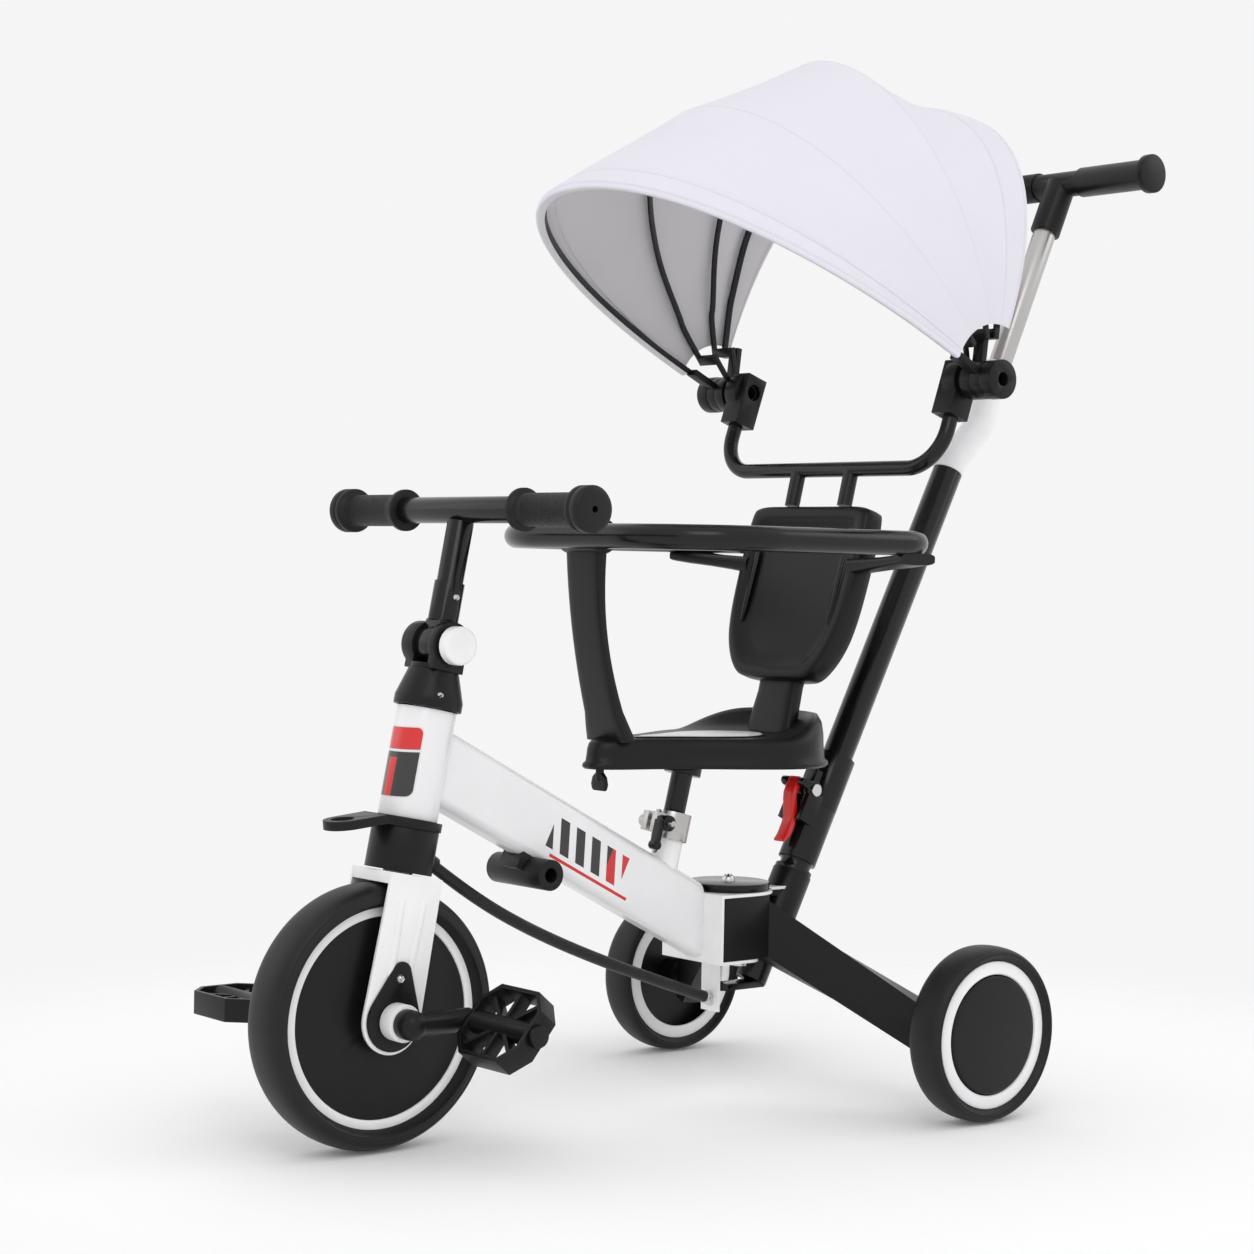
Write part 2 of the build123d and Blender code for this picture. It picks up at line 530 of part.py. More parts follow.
def hinge_housing():
    # the top plate carries the cover and the push socket, the bottom plate is cut to leave the arms room
    front, rear = back(HOUSING_FRONT), back(HOUSING_CENTRE)
    pin_y = back(ARM_PIN_BACK)
    wide = Pos(0, (front + rear) / 2) * Rectangle(2 * HOUSING_HALF, rear - front) + Pos(0, rear) * Circle(HOUSING_HALF)
    wide += Pos(0, rear + HOUSING_HALF + 8) * Rectangle(2 * TONGUE_HALF, 40)
    short = Pos(0, (front + pin_y) / 2) * Rectangle(2 * HOUSING_HALF, pin_y - front)
    for side in (-1, 1):
        hole = Pos(side * ARM_PIN_X, pin_y) * Circle(ARM_PIN_R + 0.01)
        wide = wide - hole
        short = short + Pos(side * ARM_PIN_X, pin_y) * Circle(PIN_PLATE_R) - hole
    top = Pos(0, 0, HOUSING_HIGH) * extrude(wide, PLATE_T)
    bottom = Pos(0, 0, HOUSING_LOW - PLATE_T) * extrude(short, PLATE_T)
    wall = block(Plane.XY, -HOUSING_HALF, HOUSING_HALF, front, front + PLATE_T, HOUSING_LOW - 1, HOUSING_HIGH + 1)
    tab_y = hose_path()[-1].Y - 8
    tab = block(Plane.XY, -13, 13, tab_y, tab_y + PLATE_T, hose_path()[-1].Z - 10, HOUSING_LOW - 1)
    last = hose_path()[-1] - hose_path()[-2]
    bore = rod(axis_plane(hose_path()[-1], last), -60, 60, HOSE_R + 0.1)
    return top + bottom + wall + (tab - bore) - rod(PUSH, push_s(100), push_s(240), SOCKET_R + 0.02)


def frame_parts():
    save("main_beam", main_beam())
    save("seat_tube", seat_tube())
    save("hinge_housing", hinge_housing())
    disc_low = HOUSING_HIGH + PLATE_T + 0.1
    disc = rod(Pos(0, back(HOUSING_CENTRE), 0) * Plane.XY, disc_low + 2.5, disc_low + COVER_DISC_T, COVER_DISC_R)
    rim = pipe(Pos(0, back(HOUSING_CENTRE), 0) * Plane.XY, disc_low, disc_low + 3, COVER_DISC_R, COVER_DISC_R - 3)
    save("hinge_cover", disc + rim)
    pins = []
    for side in (-1, 1):
        spot = Pos(side * ARM_PIN_X, back(ARM_PIN_BACK), 0) * Plane.XY
        shaft = rod(spot, HOUSING_LOW - PLATE_T - 3, HOUSING_HIGH + PLATE_T + 1.5, ARM_PIN_R)
        head = rod(spot, HOUSING_LOW - PLATE_T - 5, HOUSING_LOW - PLATE_T - 0.05, ARM_PIN_R + 3)
        pins.append(shaft + head)
    save("hinge_pins", *pins)
    save("seat_clamp", seat_clamp())
    save("quick_release_lever", quick_release_lever())
    save("pedal_holder", pedal_holder())
    save("push_socket", push_socket())
    save("steering_hose", steering_hose())


def seat_tube():
    # the tube stands on the beam's upper wall and is open for the post
    tube = pipe(SEAT_AXIS, seat_s(SEAT_TUBE_LOW), seat_s(CLAMP_LOW + CLAMP_H - 4), SEAT_TUBE_R, POST_R + 0.1)
    slot = block(SEAT_AXIS, -1.5, 1.5, -SEAT_TUBE_R - 2, 0, seat_s(258), seat_s(CLAMP_LOW + CLAMP_H + 10))
    eye = rod(axis_plane(SEAT_AXIS.from_local_coords((0, 0, seat_s(258))), -SEAT_AXIS.y_dir), 0, 30, 3.5)
    return tube - slot - eye


CLAMP_S = (CLAMP_LOW - SEAT_AXIS_Z) / cos(radians(SEAT_LEAN))


def seat_clamp():
    ring = pipe(SEAT_AXIS, CLAMP_S, CLAMP_S + CLAMP_H, CLAMP_R, SEAT_TUBE_R + 0.05)
    lugs = block(SEAT_AXIS, -11, 11, -CLAMP_R - 12, -SEAT_TUBE_R - 1, CLAMP_S + 4, CLAMP_S + CLAMP_H - 4)
    slot = block(SEAT_AXIS, -3, 3, -CLAMP_R - 20, -8, CLAMP_S - 1, CLAMP_S + CLAMP_H + 1)
    bolt_plane = axis_plane(SEAT_AXIS.from_local_coords((0, -CLAMP_R - 5, CLAMP_S + CLAMP_H / 2)), (1, 0, 0))
    bolt = rod(bolt_plane, -18, 30, 3.0)
    nut = rod(bolt_plane, -18, -11.5, 6.0)
    return ring + lugs - slot + bolt + nut


def quick_release_lever():
    pivot = axis_plane(SEAT_AXIS.from_local_coords((0, -CLAMP_R - 5, CLAMP_S + CLAMP_H / 2)), (1, 0, 0))
    hub = rod(pivot, 12.0, 24.0, 8.0) - rod(pivot, 10, 32, 3.0 + RUN)
    centre = SEAT_AXIS.from_local_coords((0, -CLAMP_R - 5, CLAMP_S + CLAMP_H / 2))
    blade = block(Plane(origin=centre, x_dir=(1, 0, 0), z_dir=SEAT_AXIS.z_dir), 13, 23, -11, -6, -24, 2)
    knob = rod(axis_plane(centre + SEAT_AXIS.z_dir * -24 + SEAT_AXIS.y_dir * -8.5, (1, 0, 0)), 13, 23, 4.5)
    return hub + blade + knob


HOLDER_BACK = 176.0
HOLDER_R = 15.0
HOLDER_BORE_R = 7.2
HOLDER_HALF = 42.0


def pedal_holder():
    # a cross tube under the beam that stores a pedal by its spindle
    under_z = BEAM_AT_Z - (HOLDER_BACK - BEAM_AT) * tan(radians(BEAM_SLOPE)) - BEAM_H / 2 / cos(radians(BEAM_SLOPE))
    axis = across(back(HOLDER_BACK), under_z - HOLDER_R + 4)
    tube = rod(axis, -HOLDER_HALF, HOLDER_HALF, HOLDER_R)
    saddle = block(Plane(origin=(0, back(HOLDER_BACK), under_z), x_dir=(1, 0, 0), z_dir=BEAM.y_dir * -1), -15, 15, -17, 17, -14, 14)
    beam_space = BEAM * extrude(RectangleRounded(BEAM_W + 0.1, BEAM_H + 0.1, BEAM_ROUND), 400, both=True)
    bores = rod(axis, HOLDER_HALF - 34, HOLDER_HALF + 1, HOLDER_BORE_R)
    bores += rod(axis, -HOLDER_HALF - 1, -HOLDER_HALF + 34, HOLDER_BORE_R)
    return tube + saddle - beam_space - bores


def push_socket():
    low, high = push_s(140), push_s(HOUSING_HIGH + 14)
    body = rod(PUSH, low, high, SOCKET_R)
    ledge_y = back(HOUSING_CENTRE + HOUSING_HALF) + 3
    ledge = block(Plane.XY, -12, 12, ledge_y, back(PUSH_AT) - 12, HOUSING_HIGH - 7, HOUSING_HIGH - 0.05)
    return body + ledge - rod(PUSH, low - 1, high + 1, PUSH_R + RUN)


# ---- steering hose: held from the collar to the push socket ------------------------------
HOSE_R = 6.0
hose_start = Vector(HEAD.from_local_coords((0, COLLAR_R - 4, COLLAR_S + 15)))
HOSE_POINTS = [(105, 234), (166, 200), (240, 167.5), (330, 134), (428, 101)]
hose_second = Vector(0, back(HOSE_POINTS[0][0]), HOSE_POINTS[0][1])
HOSE_START = Plane(origin=hose_start, x_dir=(1, 0, 0), z_dir=hose_second - hose_start)


def hose_path():
    points = [hose_start + HOSE_START.z_dir * 4]
    return points + [Vector(0, back(distance), height) for distance, height in HOSE_POINTS]


def steering_hose():
    points = hose_path()
    radii = []
    for a, b, c in zip(points, points[1:], points[2:]):
        turn = radians((b - a).get_angle(c - b))
        radii.append(0.45 * min((b - a).length, (c - b).length) / tan(turn / 2))
    print("hose radii", [round(r) for r in radii])
    path = FilletPolyline(*points, radius=radii)
    hose = sweep(Plane(origin=path @ 0, z_dir=path % 0) * Circle(HOSE_R), path=path)
    print("hose length", round(path.length, 1), "volume ratio", round(hose.volume / (pi * HOSE_R ** 2 * path.length), 4))
    return hose


# ---- rear arms and wheels -----------------------------------------------------------------
WHEEL_X = REAR_TRACK / 2
REAR_Y = back(WHEELBASE)


def section(x_out, y_out, z_low, z_high, tangent):
    # an upright rectangle whose outer edge stands at (x_out, y_out), ARM_T thick
    t = Vector(*tangent, 0).normalized()
    n = Vector(-t.Y, t.X, 0) if t.X > 0 else Vector(-1, 0, 0)
    a = Vector(x_out, y_out, z_low)
    b = a + n * ARM_T
    c, d = Vector(b.X, b.Y, z_high), Vector(a.X, a.Y, z_high)
    return make_face(Polyline(a, b, c, d, close=True).edges())


def rear_arm():
    low, high = HOUSING_LOW + GAP, HOUSING_HIGH - GAP
    front = back(HOUSING_FRONT) + PLATE_T + 2
    knee = back(ARM_PIN_BACK) + KNUCKLE_LEN / 2 - 2
    outer = HOUSING_HALF - 1
    knuckle = block(Plane.XY, outer - 36, outer, front + 12, knee, low, high)
    nose = rod(Pos(ARM_PIN_X, back(ARM_PIN_BACK), 0) * Plane.XY, low, high, 18.5)
    cheek = block(Plane.XY, outer - 8, outer, front, knee, low, high)
    wheel_face = WHEEL_X - REAR_HALF - 3
    end_y = REAR_Y - ARM_T / 2
    arm_vec = (wheel_face - outer, end_y - knee)
    end_low = REAR_TYRE_R - ARM_END_H / 2
    bend = 0.8
    mid_x, mid_y = outer + arm_vec[0] * bend, knee + arm_vec[1] * bend
    s0 = section(outer, knee, low, high - 6, (0, 1))
    s1 = section(mid_x, mid_y, end_low, end_low + ARM_END_H, arm_vec)
    s2 = section(wheel_face, end_y, end_low, end_low + ARM_END_H, arm_vec)
    beam = loft([s0, s1], ruled=True) + loft([s1, s2], ruled=True)
    bolt_out = WHEEL_X + REAR_RIM_HALF - 8
    stub = rod(across(REAR_Y, REAR_TYRE_R), wheel_face - 16, bolt_out, STUB_R)
    shape = knuckle + nose + cheek + beam + stub
    pin_space = rod(Pos(ARM_PIN_X, back(ARM_PIN_BACK), 0) * Plane.XY, low - 20, high + 20, ARM_PIN_R + RUN)
    return shape - pin_space


def rear_rim(side):
    # an open dish: white ring and black cap outside, spokes and hub inside
    plane = across(REAR_Y, REAR_TYRE_R, side * WHEEL_X)
    face = REAR_RIM_HALF
    ring_in = REAR_RIM_R - REAR_TRIM_WIDTH
    outline = [(REAR_HUB_R, face - 4), (REAR_HUB_R, -face), (STUB_R + RUN, -face), (STUB_R + RUN, face - 6)]
    outline += [(0, face - 6), (0, face + 1), (ring_in - 3, face + 1), (ring_in, face - 3)]
    outline += [(REAR_RIM_R - GAP / 3, face - 0.5), (REAR_RIM_R - GAP / 3, -face), (REAR_RIM_R - 4, -face)]
    outline += [(REAR_RIM_R - 4, face - 6), (REAR_HUB_R + 2, face - 4)]
    return turned(plane, [(r, side * z) for r, z in outline])


def rear_end():
    arm = rear_arm()
    save("rear_arm_left", arm)
    save("rear_arm_right", mirror(arm, about=Plane.YZ))
    for name, side in (("left", 1), ("right", -1)):
        plane = across(REAR_Y, REAR_TYRE_R, side * WHEEL_X)
        save("rear_tyre_" + name, tyre(plane, REAR_TYRE_R, REAR_RIM_R, REAR_RIM_HALF, REAR_HALF, 8.0))
        save("rear_rim_" + name, rear_rim(side))


# ---- seat -----------------------------------------------------------------------------------


def saddle_outline(shrink=0.0):
    rear_y = back(SADDLE_FRONT + SADDLE_LEN) - SADDLE_HALF * 0.8
    rear = Pos(0, rear_y) * Ellipse(SADDLE_HALF - shrink, SADDLE_HALF * 0.8 - shrink)
    nose = Pos(0, back(SADDLE_FRONT) + NOSE_R) * Circle(NOSE_R - shrink)
    waist = SADDLE_HALF * 0.62 - shrink
    middle = make_face(Polyline((-NOSE_R + shrink, back(SADDLE_FRONT) + NOSE_R), (NOSE_R - shrink, back(SADDLE_FRONT) + NOSE_R),
                                (waist, rear_y - SADDLE_HALF * 0.55), (-waist, rear_y - SADDLE_HALF * 0.55), close=True).edges())
    return rear + nose + middle


def saddle():
    # a moulded shell open below, with a boss over the post and a web under the strap and the neck
    shell = Pos(0, 0, SADDLE_LOW) * extrude(saddle_outline(), SADDLE_H)
    hollow = Pos(0, 0, SADDLE_LOW - 1) * extrude(saddle_outline(SADDLE_WALL), SADDLE_H - 2 * SADDLE_WALL)
    web = block(Plane.XY, -32, 32, back(SADDLE_FRONT) - 10, back(SADDLE_FRONT + SADDLE_LEN) + 10, SADDLE_LOW - 2, SADDLE_LOW + SADDLE_H)
    cup_y = back(SADDLE_FRONT + SADDLE_LEN) - SADDLE_HALF * 0.8
    cup = saddle_outline() - Pos(0, cup_y - 22) * Ellipse(SADDLE_HALF * 0.85, SADDLE_HALF * 0.85) - Pos(0, cup_y - 150) * Rectangle(400, 260)
    lip = Pos(0, 0, SADDLE_LOW + SADDLE_H - 1) * extrude(cup, LIP_H + 1) - block(Plane.XY, -36, 36, back(400), back(620), 0, 900)
    return shell - (hollow - web) - pad_space(0.0) + lip


def pad_space(shrink):
    plan = Pos(0, back(SADDLE_FRONT + 150)) * Ellipse(46 - shrink, 78 - shrink)
    return Pos(0, 0, SADDLE_LOW + SADDLE_H - 4 + shrink) * extrude(plan, 6)


BACK_BASE = 494.0           # backrest's lower edge, behind the front axle
BACK_LOW = 434.0


def backrest():
    lean = radians(BACK_LEAN)
    up = Vector(0, sin(lean), cos(lean))
    plane = Plane(origin=(0, back(BACK_BASE), BACK_LOW), x_dir=(1, 0, 0), z_dir=(0, cos(lean), -sin(lean)))
    flip = -1 if plane.y_dir.Z < 0 else 1
    low_half = BACK_W * 0.26
    outline = [(-low_half, 0), (low_half, 0), (BACK_W * 0.44, flip * BACK_H * 0.28), (BACK_W / 2, flip * BACK_H * 0.5)]
    outline += [(BACK_W / 2, flip * BACK_H * 0.72), (BACK_W * 0.42, flip * BACK_H), (-BACK_W * 0.42, flip * BACK_H)]
    outline += [(-BACK_W / 2, flip * BACK_H * 0.72), (-BACK_W / 2, flip * BACK_H * 0.5), (-BACK_W * 0.44, flip * BACK_H * 0.28)]
    shell = plane * extrude(make_face(Polyline(*outline, close=True).edges()), BACK_T)
    neck_low = SADDLE_LOW + SADDLE_H + 0.05
    neck = block(Plane.XY, -31, 31, back(BACK_BASE) + 6, back(BACK_BASE) + 26, neck_low, BACK_LOW + 40)
    wings = None
    for side in (-1, 1):
        root = Vector(side * (BACK_W / 2 - 12), back(BACK_BASE) + 46, 553)
        tip = Vector(side * (RING_HALF - 2), back(BACK_BASE) + 42, RING_Z - RING_TUBE_R - 9)
        wing = bar(root, tip, 8.0)
        wings = wing if wings is None else wings + wing
    ring_space = bent_ring(RING_TUBE_R + 0.05)
    return shell + neck + wings - ring_space


def ring_points():
    half = RING_HALF - RING_TUBE_R
    front, rear = back(RING_FRONT), back(RING_REAR)
    end = 118.0
    pts = [(-end, rear), (-half, rear), (-half, front), (half, front), (half, rear), (end, rear)]
    return [(x, y, RING_Z) for x, y in pts]


def bent_ring(radius, inner=0.0):
    return bent_tube(ring_points(), [48, 112, 112, 48], radius, inner)


def guard_strap():
    # a flat curved strap from the ring's front down into the saddle's nose
    bottom_y = back(276)
    front = back(RING_FRONT)
    low = SADDLE_LOW + SADDLE_H + 0.05
    high = RING_Z - 4
    edge = ThreePointArc((0, front - 2, high), (0, back(242), 478), (0, bottom_y, low))
    outer = ThreePointArc((0, front - 2 + STRAP_T, high), (0, back(242) + STRAP_T, 480), (0, bottom_y + STRAP_T, low))
    cap = Line((0, front - 2, high), (0, front - 2 + STRAP_T, high))
    foot = Line((0, bottom_y, low), (0, bottom_y + STRAP_T, low))
    strap = extrude(make_face([edge, outer, cap, foot]), STRAP_W / 2, dir=(1, 0, 0), both=True)
    return strap - bent_ring(RING_TUBE_R + 0.05)


def canopy_bracket():
    lean = Vector(0, HUB_BACK - UBAR_BACK, HUB_Z - UBAR_LOW).normalized()
    low = Vector(0, back(UBAR_BACK), UBAR_LOW)
    top = low + lean * ((HUB_Z - 24 - UBAR_LOW) / lean.Z)
    pts = [(-UBAR_HALF, top.Y, top.Z), (-UBAR_HALF, low.Y, low.Z), (UBAR_HALF, low.Y, low.Z), (UBAR_HALF, top.Y, top.Z)]
    tube = bent_tube(pts, [UBAR_BEND, UBAR_BEND], UBAR_R)
    back_top = Vector(0, back(BACK_BASE), BACK_LOW) + Vector(0, sin(radians(BACK_LEAN)), cos(radians(BACK_LEAN))) * BACK_H
    foot = back_top + Vector(0, cos(radians(BACK_LEAN)), -sin(radians(BACK_LEAN))) * BACK_T / 2
    for side in (-1, 1):
        start = (side * UPOST_HALF, foot.Y + 0.2, foot.Z + 0.2 + 3)
        tube = tube + bar(start, (side * UPOST_HALF, low.Y, low.Z), UBAR_R)
    shell_space = Plane(origin=back_top, x_dir=(1, 0, 0), z_dir=(0, sin(radians(BACK_LEAN)), cos(radians(BACK_LEAN))))
    return tube - block(shell_space, -200, 200, -60, 60, -100, 0.05)


HUB = across(back(HUB_BACK), HUB_Z)
CLAMP_OUT = UBAR_HALF + CLAMP_HALF - 4
LINK_T = 2.6
LINK_THIRD = CLAMP_OUT + GAP
LINK_SECOND = LINK_THIRD + LINK_T + GAP
REAR_RING = LINK_SECOND + LINK_T + GAP
RING_WIDE = 13.0
FRONT_RING = REAR_RING + RING_WIDE + GAP
HUB_CAP = FRONT_RING + RING_WIDE + GAP
HUB_END = 223.0


def canopy_clamps():
    lean = Vector(0, HUB_BACK - UBAR_BACK, HUB_Z - UBAR_LOW).normalized()
    top_y = back(UBAR_BACK) + (HUB_Z - 24 - UBAR_LOW) / lean.Z * lean.Y
    plane = Plane(origin=(UBAR_HALF, top_y, HUB_Z - 24), x_dir=(1, 0, 0), z_dir=lean)
    body = block(plane, -CLAMP_HALF, CLAMP_HALF - 4, -14, 14, -14, 44)
    drum = rod(HUB, UBAR_HALF - 6, CLAMP_OUT, HUB_R)
    body = body + drum
    body = body - rod(plane, -60, 0.05, UBAR_R + 0.02) - rod(HUB, 0, 300, HUB_PIN_R + 0.02)
    return body


def hub_pins():
    pin = pipe(HUB, UBAR_HALF - 10, HUB_END, HUB_PIN_R, HUB_BORE_R)
    cap = pipe(HUB, HUB_CAP, HUB_END, HUB_R - 1, HUB_BORE_R)
    return pin + cap


def seat_parts():
    top = seat_s(SADDLE_LOW) - 0.1
    save("seat_post", pipe(SEAT_AXIS, seat_s(POST_LOW), top, POST_R, POST_R - POST_WALL)
         + pipe(SEAT_AXIS, top - 9, top, POST_R + 8, POST_R - POST_WALL) - block(Plane.XY, -300, 300, -900, 900, SADDLE_LOW - 0.05, 900))
    save("saddle", saddle())
    save("seat_pad", pad_space(0.15) - block(Plane.XY, -300, 300, -900, 900, SADDLE_LOW + SADDLE_H + 1.0, 900))
    save("backrest", backrest())
    save("guard_ring", bent_ring(RING_TUBE_R, RING_TUBE_R - 2))
    save("guard_strap", guard_strap())
    save("canopy_bracket", canopy_bracket())
    save("canopy_clamps", *both_sides(canopy_clamps()))
    save("canopy_hub_pins", *both_sides(hub_pins()))


# ---- canopy ribs and cloth ---------------------------------------------------------------------
def rib_plane(angle):
    # local x is +X, local y points away from the hub axis at the rib's angle above forward
    a = radians(angle)
    out = Vector(0, -cos(a), sin(a))
    normal = Vector(1, 0, 0).cross(out)
    return Plane(origin=(0, back(HUB_BACK), HUB_Z), x_dir=(1, 0, 0), z_dir=normal)


def rib_curve(reach, half, start, power):
    # half of a rounded bow, from its end beside the hub to its crown
    points = []
    steps = 8
    for i in range(steps + 1):
        t = pi / 2 * i / steps
        points.append((half * cos(t) ** (2 / power), start + (reach - start) * sin(t) ** (2 / power)))
    mirrored = [(-x, y) for x, y in reversed(points[:-1])]
    return Spline(*(points + mirrored), tangents=[(0, 1), (0, -1)])


def bow_face(reach, half, start, thick, power):
    outer = rib_curve(reach, half, start, power)
    inner = rib_curve(reach - thick, half - thick, start, power)
    right = Line(outer @ 0, inner @ 0)
    left = Line(outer @ 1, inner @ 1)
    return make_face([outer, inner, right, left])


CANOPY_HALF = CANOPY_WIDTH / 2


def rib(name, ring_x0, ring_x1):
    angle, reach, power, width = RIB_ANGLES[name], RIB_REACH[name], RIB_POWERS[name], RIB_WIDTHS[name]
    plane = rib_plane(angle)
    inset = CLOTH_T + (3.6 if name == "front" else 2.2)
    shape = plane * extrude(bow_face(reach - inset, CANOPY_HALF - inset, RIB_START, RIB_T, power), width / 2, both=True)
    for side in (-1, 1):
        x0, x1 = sorted((side * ring_x0, side * ring_x1))
        ring = rod(HUB, x0, x1, HUB_R - (1.5 if ring_x1 - ring_x0 > 5 else 5))
        foot_in = min(ring_x0, CANOPY_HALF - inset - RIB_T)
        fx0, fx1 = sorted((side * foot_in, side * max(ring_x1, CANOPY_HALF - inset)))
        foot = block(plane, fx0, fx1, RIB_START - 4, RIB_START + 6, -width / 2, width / 2)
        arm = block(plane, x0, x1, 4, RIB_START + 6, -width / 2, width / 2)
        shape = shape + ring + arm + foot
        shape = shape - rod(HUB, x0 - 1, x1 + 1, HUB_PIN_R + RUN)
    return shape


def cloth(first, second, flap=False):
    # a curved sheet between two ribs; a flap runs on past the second rib
    a0, a1 = RIB_ANGLES[first], RIB_ANGLES[second]
    r0, r1 = RIB_REACH[first], RIB_REACH[second]
    p0, p1 = RIB_POWERS[first], RIB_POWERS[second]
    places = [(a0, r0, p0), ((a0 + a1) / 2, (r0 + r1) / 2 - CLOTH_DIP, (p0 + p1) / 2), (a1, r1, p1)]
    if flap:
        places.append((a1 + FLAP_ANGLE, FLAP_REACH, FLAP_POWER))
    faces = []
    for angle, reach, power in places:
        faces.append(rib_plane(angle) * bow_face(reach, CANOPY_HALF, RIB_START + 10, CLOTH_T, power))
    return loft(faces, ruled=True)


def canopy():
    save("rib_third", rib("third", LINK_THIRD, LINK_THIRD + LINK_T))
    save("rib_second", rib("second", LINK_SECOND, LINK_SECOND + LINK_T))
    save("rib_rear", rib("rear", REAR_RING, REAR_RING + RING_WIDE))
    save("rib_front", rib("front", FRONT_RING, FRONT_RING + RING_WIDE))
    save("canopy_front_panel", cloth("front", "second"))
    save("canopy_middle_panel", cloth("second", "third"))
    save("canopy_rear_panel", cloth("third", "rear", True))


# ---- push handle ------------------------------------------------------------------------------------
FOLD_S = push_s(FOLD_Z)
FOLD_PIN = Plane(origin=PUSH.from_local_coords((0, -FOLD_OFFSET, FOLD_S)), x_dir=(0, 1, 0), z_dir=(1, 0, 0))
JOINT_S = FOLD_S - 10.0


def push_handle():
    foot_s = push_s(FOOT_Z)
    tube = rod(PUSH, foot_s, JOINT_S - 1, PUSH_R)
    stop = rod(PUSH, push_s(HOUSING_HIGH + 14) + GAP, push_s(HOUSING_HIGH + 14) + 5, SOCKET_R - 1)
    sleeve = rod(PUSH, JOINT_S - SLEEVE_LOW_LEN, JOINT_S, FOLD_SLEEVE_R)
    foot_y = back(PUSH_AT) - (PUSH_AT_Z - FOOT_Z) * tan(radians(PUSH_LEAN))
    lever = block(Plane.XY, -10, 10, foot_y - LEVER_LEN, foot_y + 10, FOOT_Z - 7, FOOT_Z)
    lever += rod(Pos(0, foot_y - LEVER_LEN, 0) * Plane.XY, FOOT_Z - 7, FOOT_Z, 10)
    lower = tube + stop + sleeve + fold_ears() + lever - rod(FOLD_PIN, -40, 40, FOLD_PIN_R + 0.01)
    save("push_tube_lower", lower - rod(PUSH, foot_s + 14, JOINT_S - 4, PUSH_R - TUBE_WALL))
    save("push_latch", push_latch())
    save("push_fold_pin", rod(FOLD_PIN, -EAR_OUT - 2, EAR_OUT + 2, FOLD_PIN_R) + rod(FOLD_PIN, EAR_OUT + 0.2, EAR_OUT + 3, 6.5)
         + rod(FOLD_PIN, -EAR_OUT - 3, -EAR_OUT - 0.2, 6.5))
    top_s = push_s(PUSH_TOP)
    high = rod(PUSH, JOINT_S + GAP, JOINT_S + SLEEVE_HIGH_LEN, FOLD_SLEEVE_R)
    knuckle = rod(FOLD_PIN, -9, 9, FOLD_EYE_R)
    for side in (-1, 1):
        x0, x1 = sorted((side * 9.1, side * 30))
        high = high - rod(FOLD_PIN, x0, x1, FOLD_EYE_R + 0.4)
    arm = block(PUSH, -9, 9, -FOLD_OFFSET, 0, JOINT_S + GAP, JOINT_S + 34)
    upper = high + knuckle + arm + rod(PUSH, JOINT_S + SLEEVE_HIGH_LEN - 1, top_s, PUSH_R)
    hollow = rod(PUSH, JOINT_S + 6, top_s + 1, PUSH_R - TUBE_WALL)
    save("push_tube_upper", upper - hollow - rod(FOLD_PIN, -10, 10, FOLD_PIN_R + RUN))
    save("push_offset_sleeve", offset_sleeve())
    save("push_tube_inner", pipe(HANDLE, INNER_LOW, INNER_HIGH, INNER_R, INNER_R - 1.5))
    save("push_handle", handle())


LATCH_PIN = Plane(origin=PUSH.from_local_coords((0, -FOLD_OFFSET - 16.5, FOLD_S + 2)), x_dir=(0, 1, 0), z_dir=(1, 0, 0))


def fold_ears():
    # two cheeks hold the fold pin and, further forward, the latch's pin
    shape = rod(LATCH_PIN, -EAR_OUT + 1, EAR_OUT - 1, LATCH_PIN_R)
    sleeve_space = rod(PUSH, JOINT_S - 0.01, JOINT_S + 80, FOLD_SLEEVE_R + 0.5)
    for side in (-1, 1):
        x0, x1 = sorted((side * EAR_IN, side * EAR_OUT))
        ear = rod(FOLD_PIN, x0, x1, FOLD_EYE_R)
        ear += block(PUSH, x0, x1, -FOLD_OFFSET - 16.5, -FOLD_OFFSET, FOLD_S - 3, FOLD_S + 6)
        ear += rod(LATCH_PIN, x0, x1, 4.5)
        ear += block(PUSH, x0, x1, -FOLD_OFFSET - 6, -10, JOINT_S - 26, FOLD_S - 2)
        shape = shape + (ear - sleeve_space)
    return shape


def push_latch():
    outline = [(-3.6, 3), (-3.6, -16), (9, -38), (9, -58), (13, -62), (16.5, -58), (16.5, -37), (3.6, -14), (3.6, 3)]
    origin = Vector(LATCH_PIN.origin)
    local = Plane(origin=origin - Vector(7, 0, 0), x_dir=PUSH.y_dir, z_dir=(1, 0, 0))
    flip = 1 if local.y_dir.Z > 0 else -1
    blade = extrude(local * make_face(Polyline(*[(y, flip * z) for y, z in outline], close=True).edges()), 14, dir=(1, 0, 0))
    eye = rod(LATCH_PIN, -7, 7, 4.5)
    return blade + eye - rod(LATCH_PIN, -9, 9, LATCH_PIN_R + RUN)


HANDLE_BASE = Vector(0, back(push_top_back + OFFSET_STEP), PUSH_TOP)
HANDLE = Plane(origin=HANDLE_BASE, x_dir=(1, 0, 0), z_dir=handle_dir)
HANDLE_S = (HANDLE_TOP - PUSH_TOP) / cos(radians(HANDLE_LEAN))
SLEEVE_TOP_S = 135.0
INNER_LOW = 112.0
INNER_HIGH = HANDLE_S - 18.0


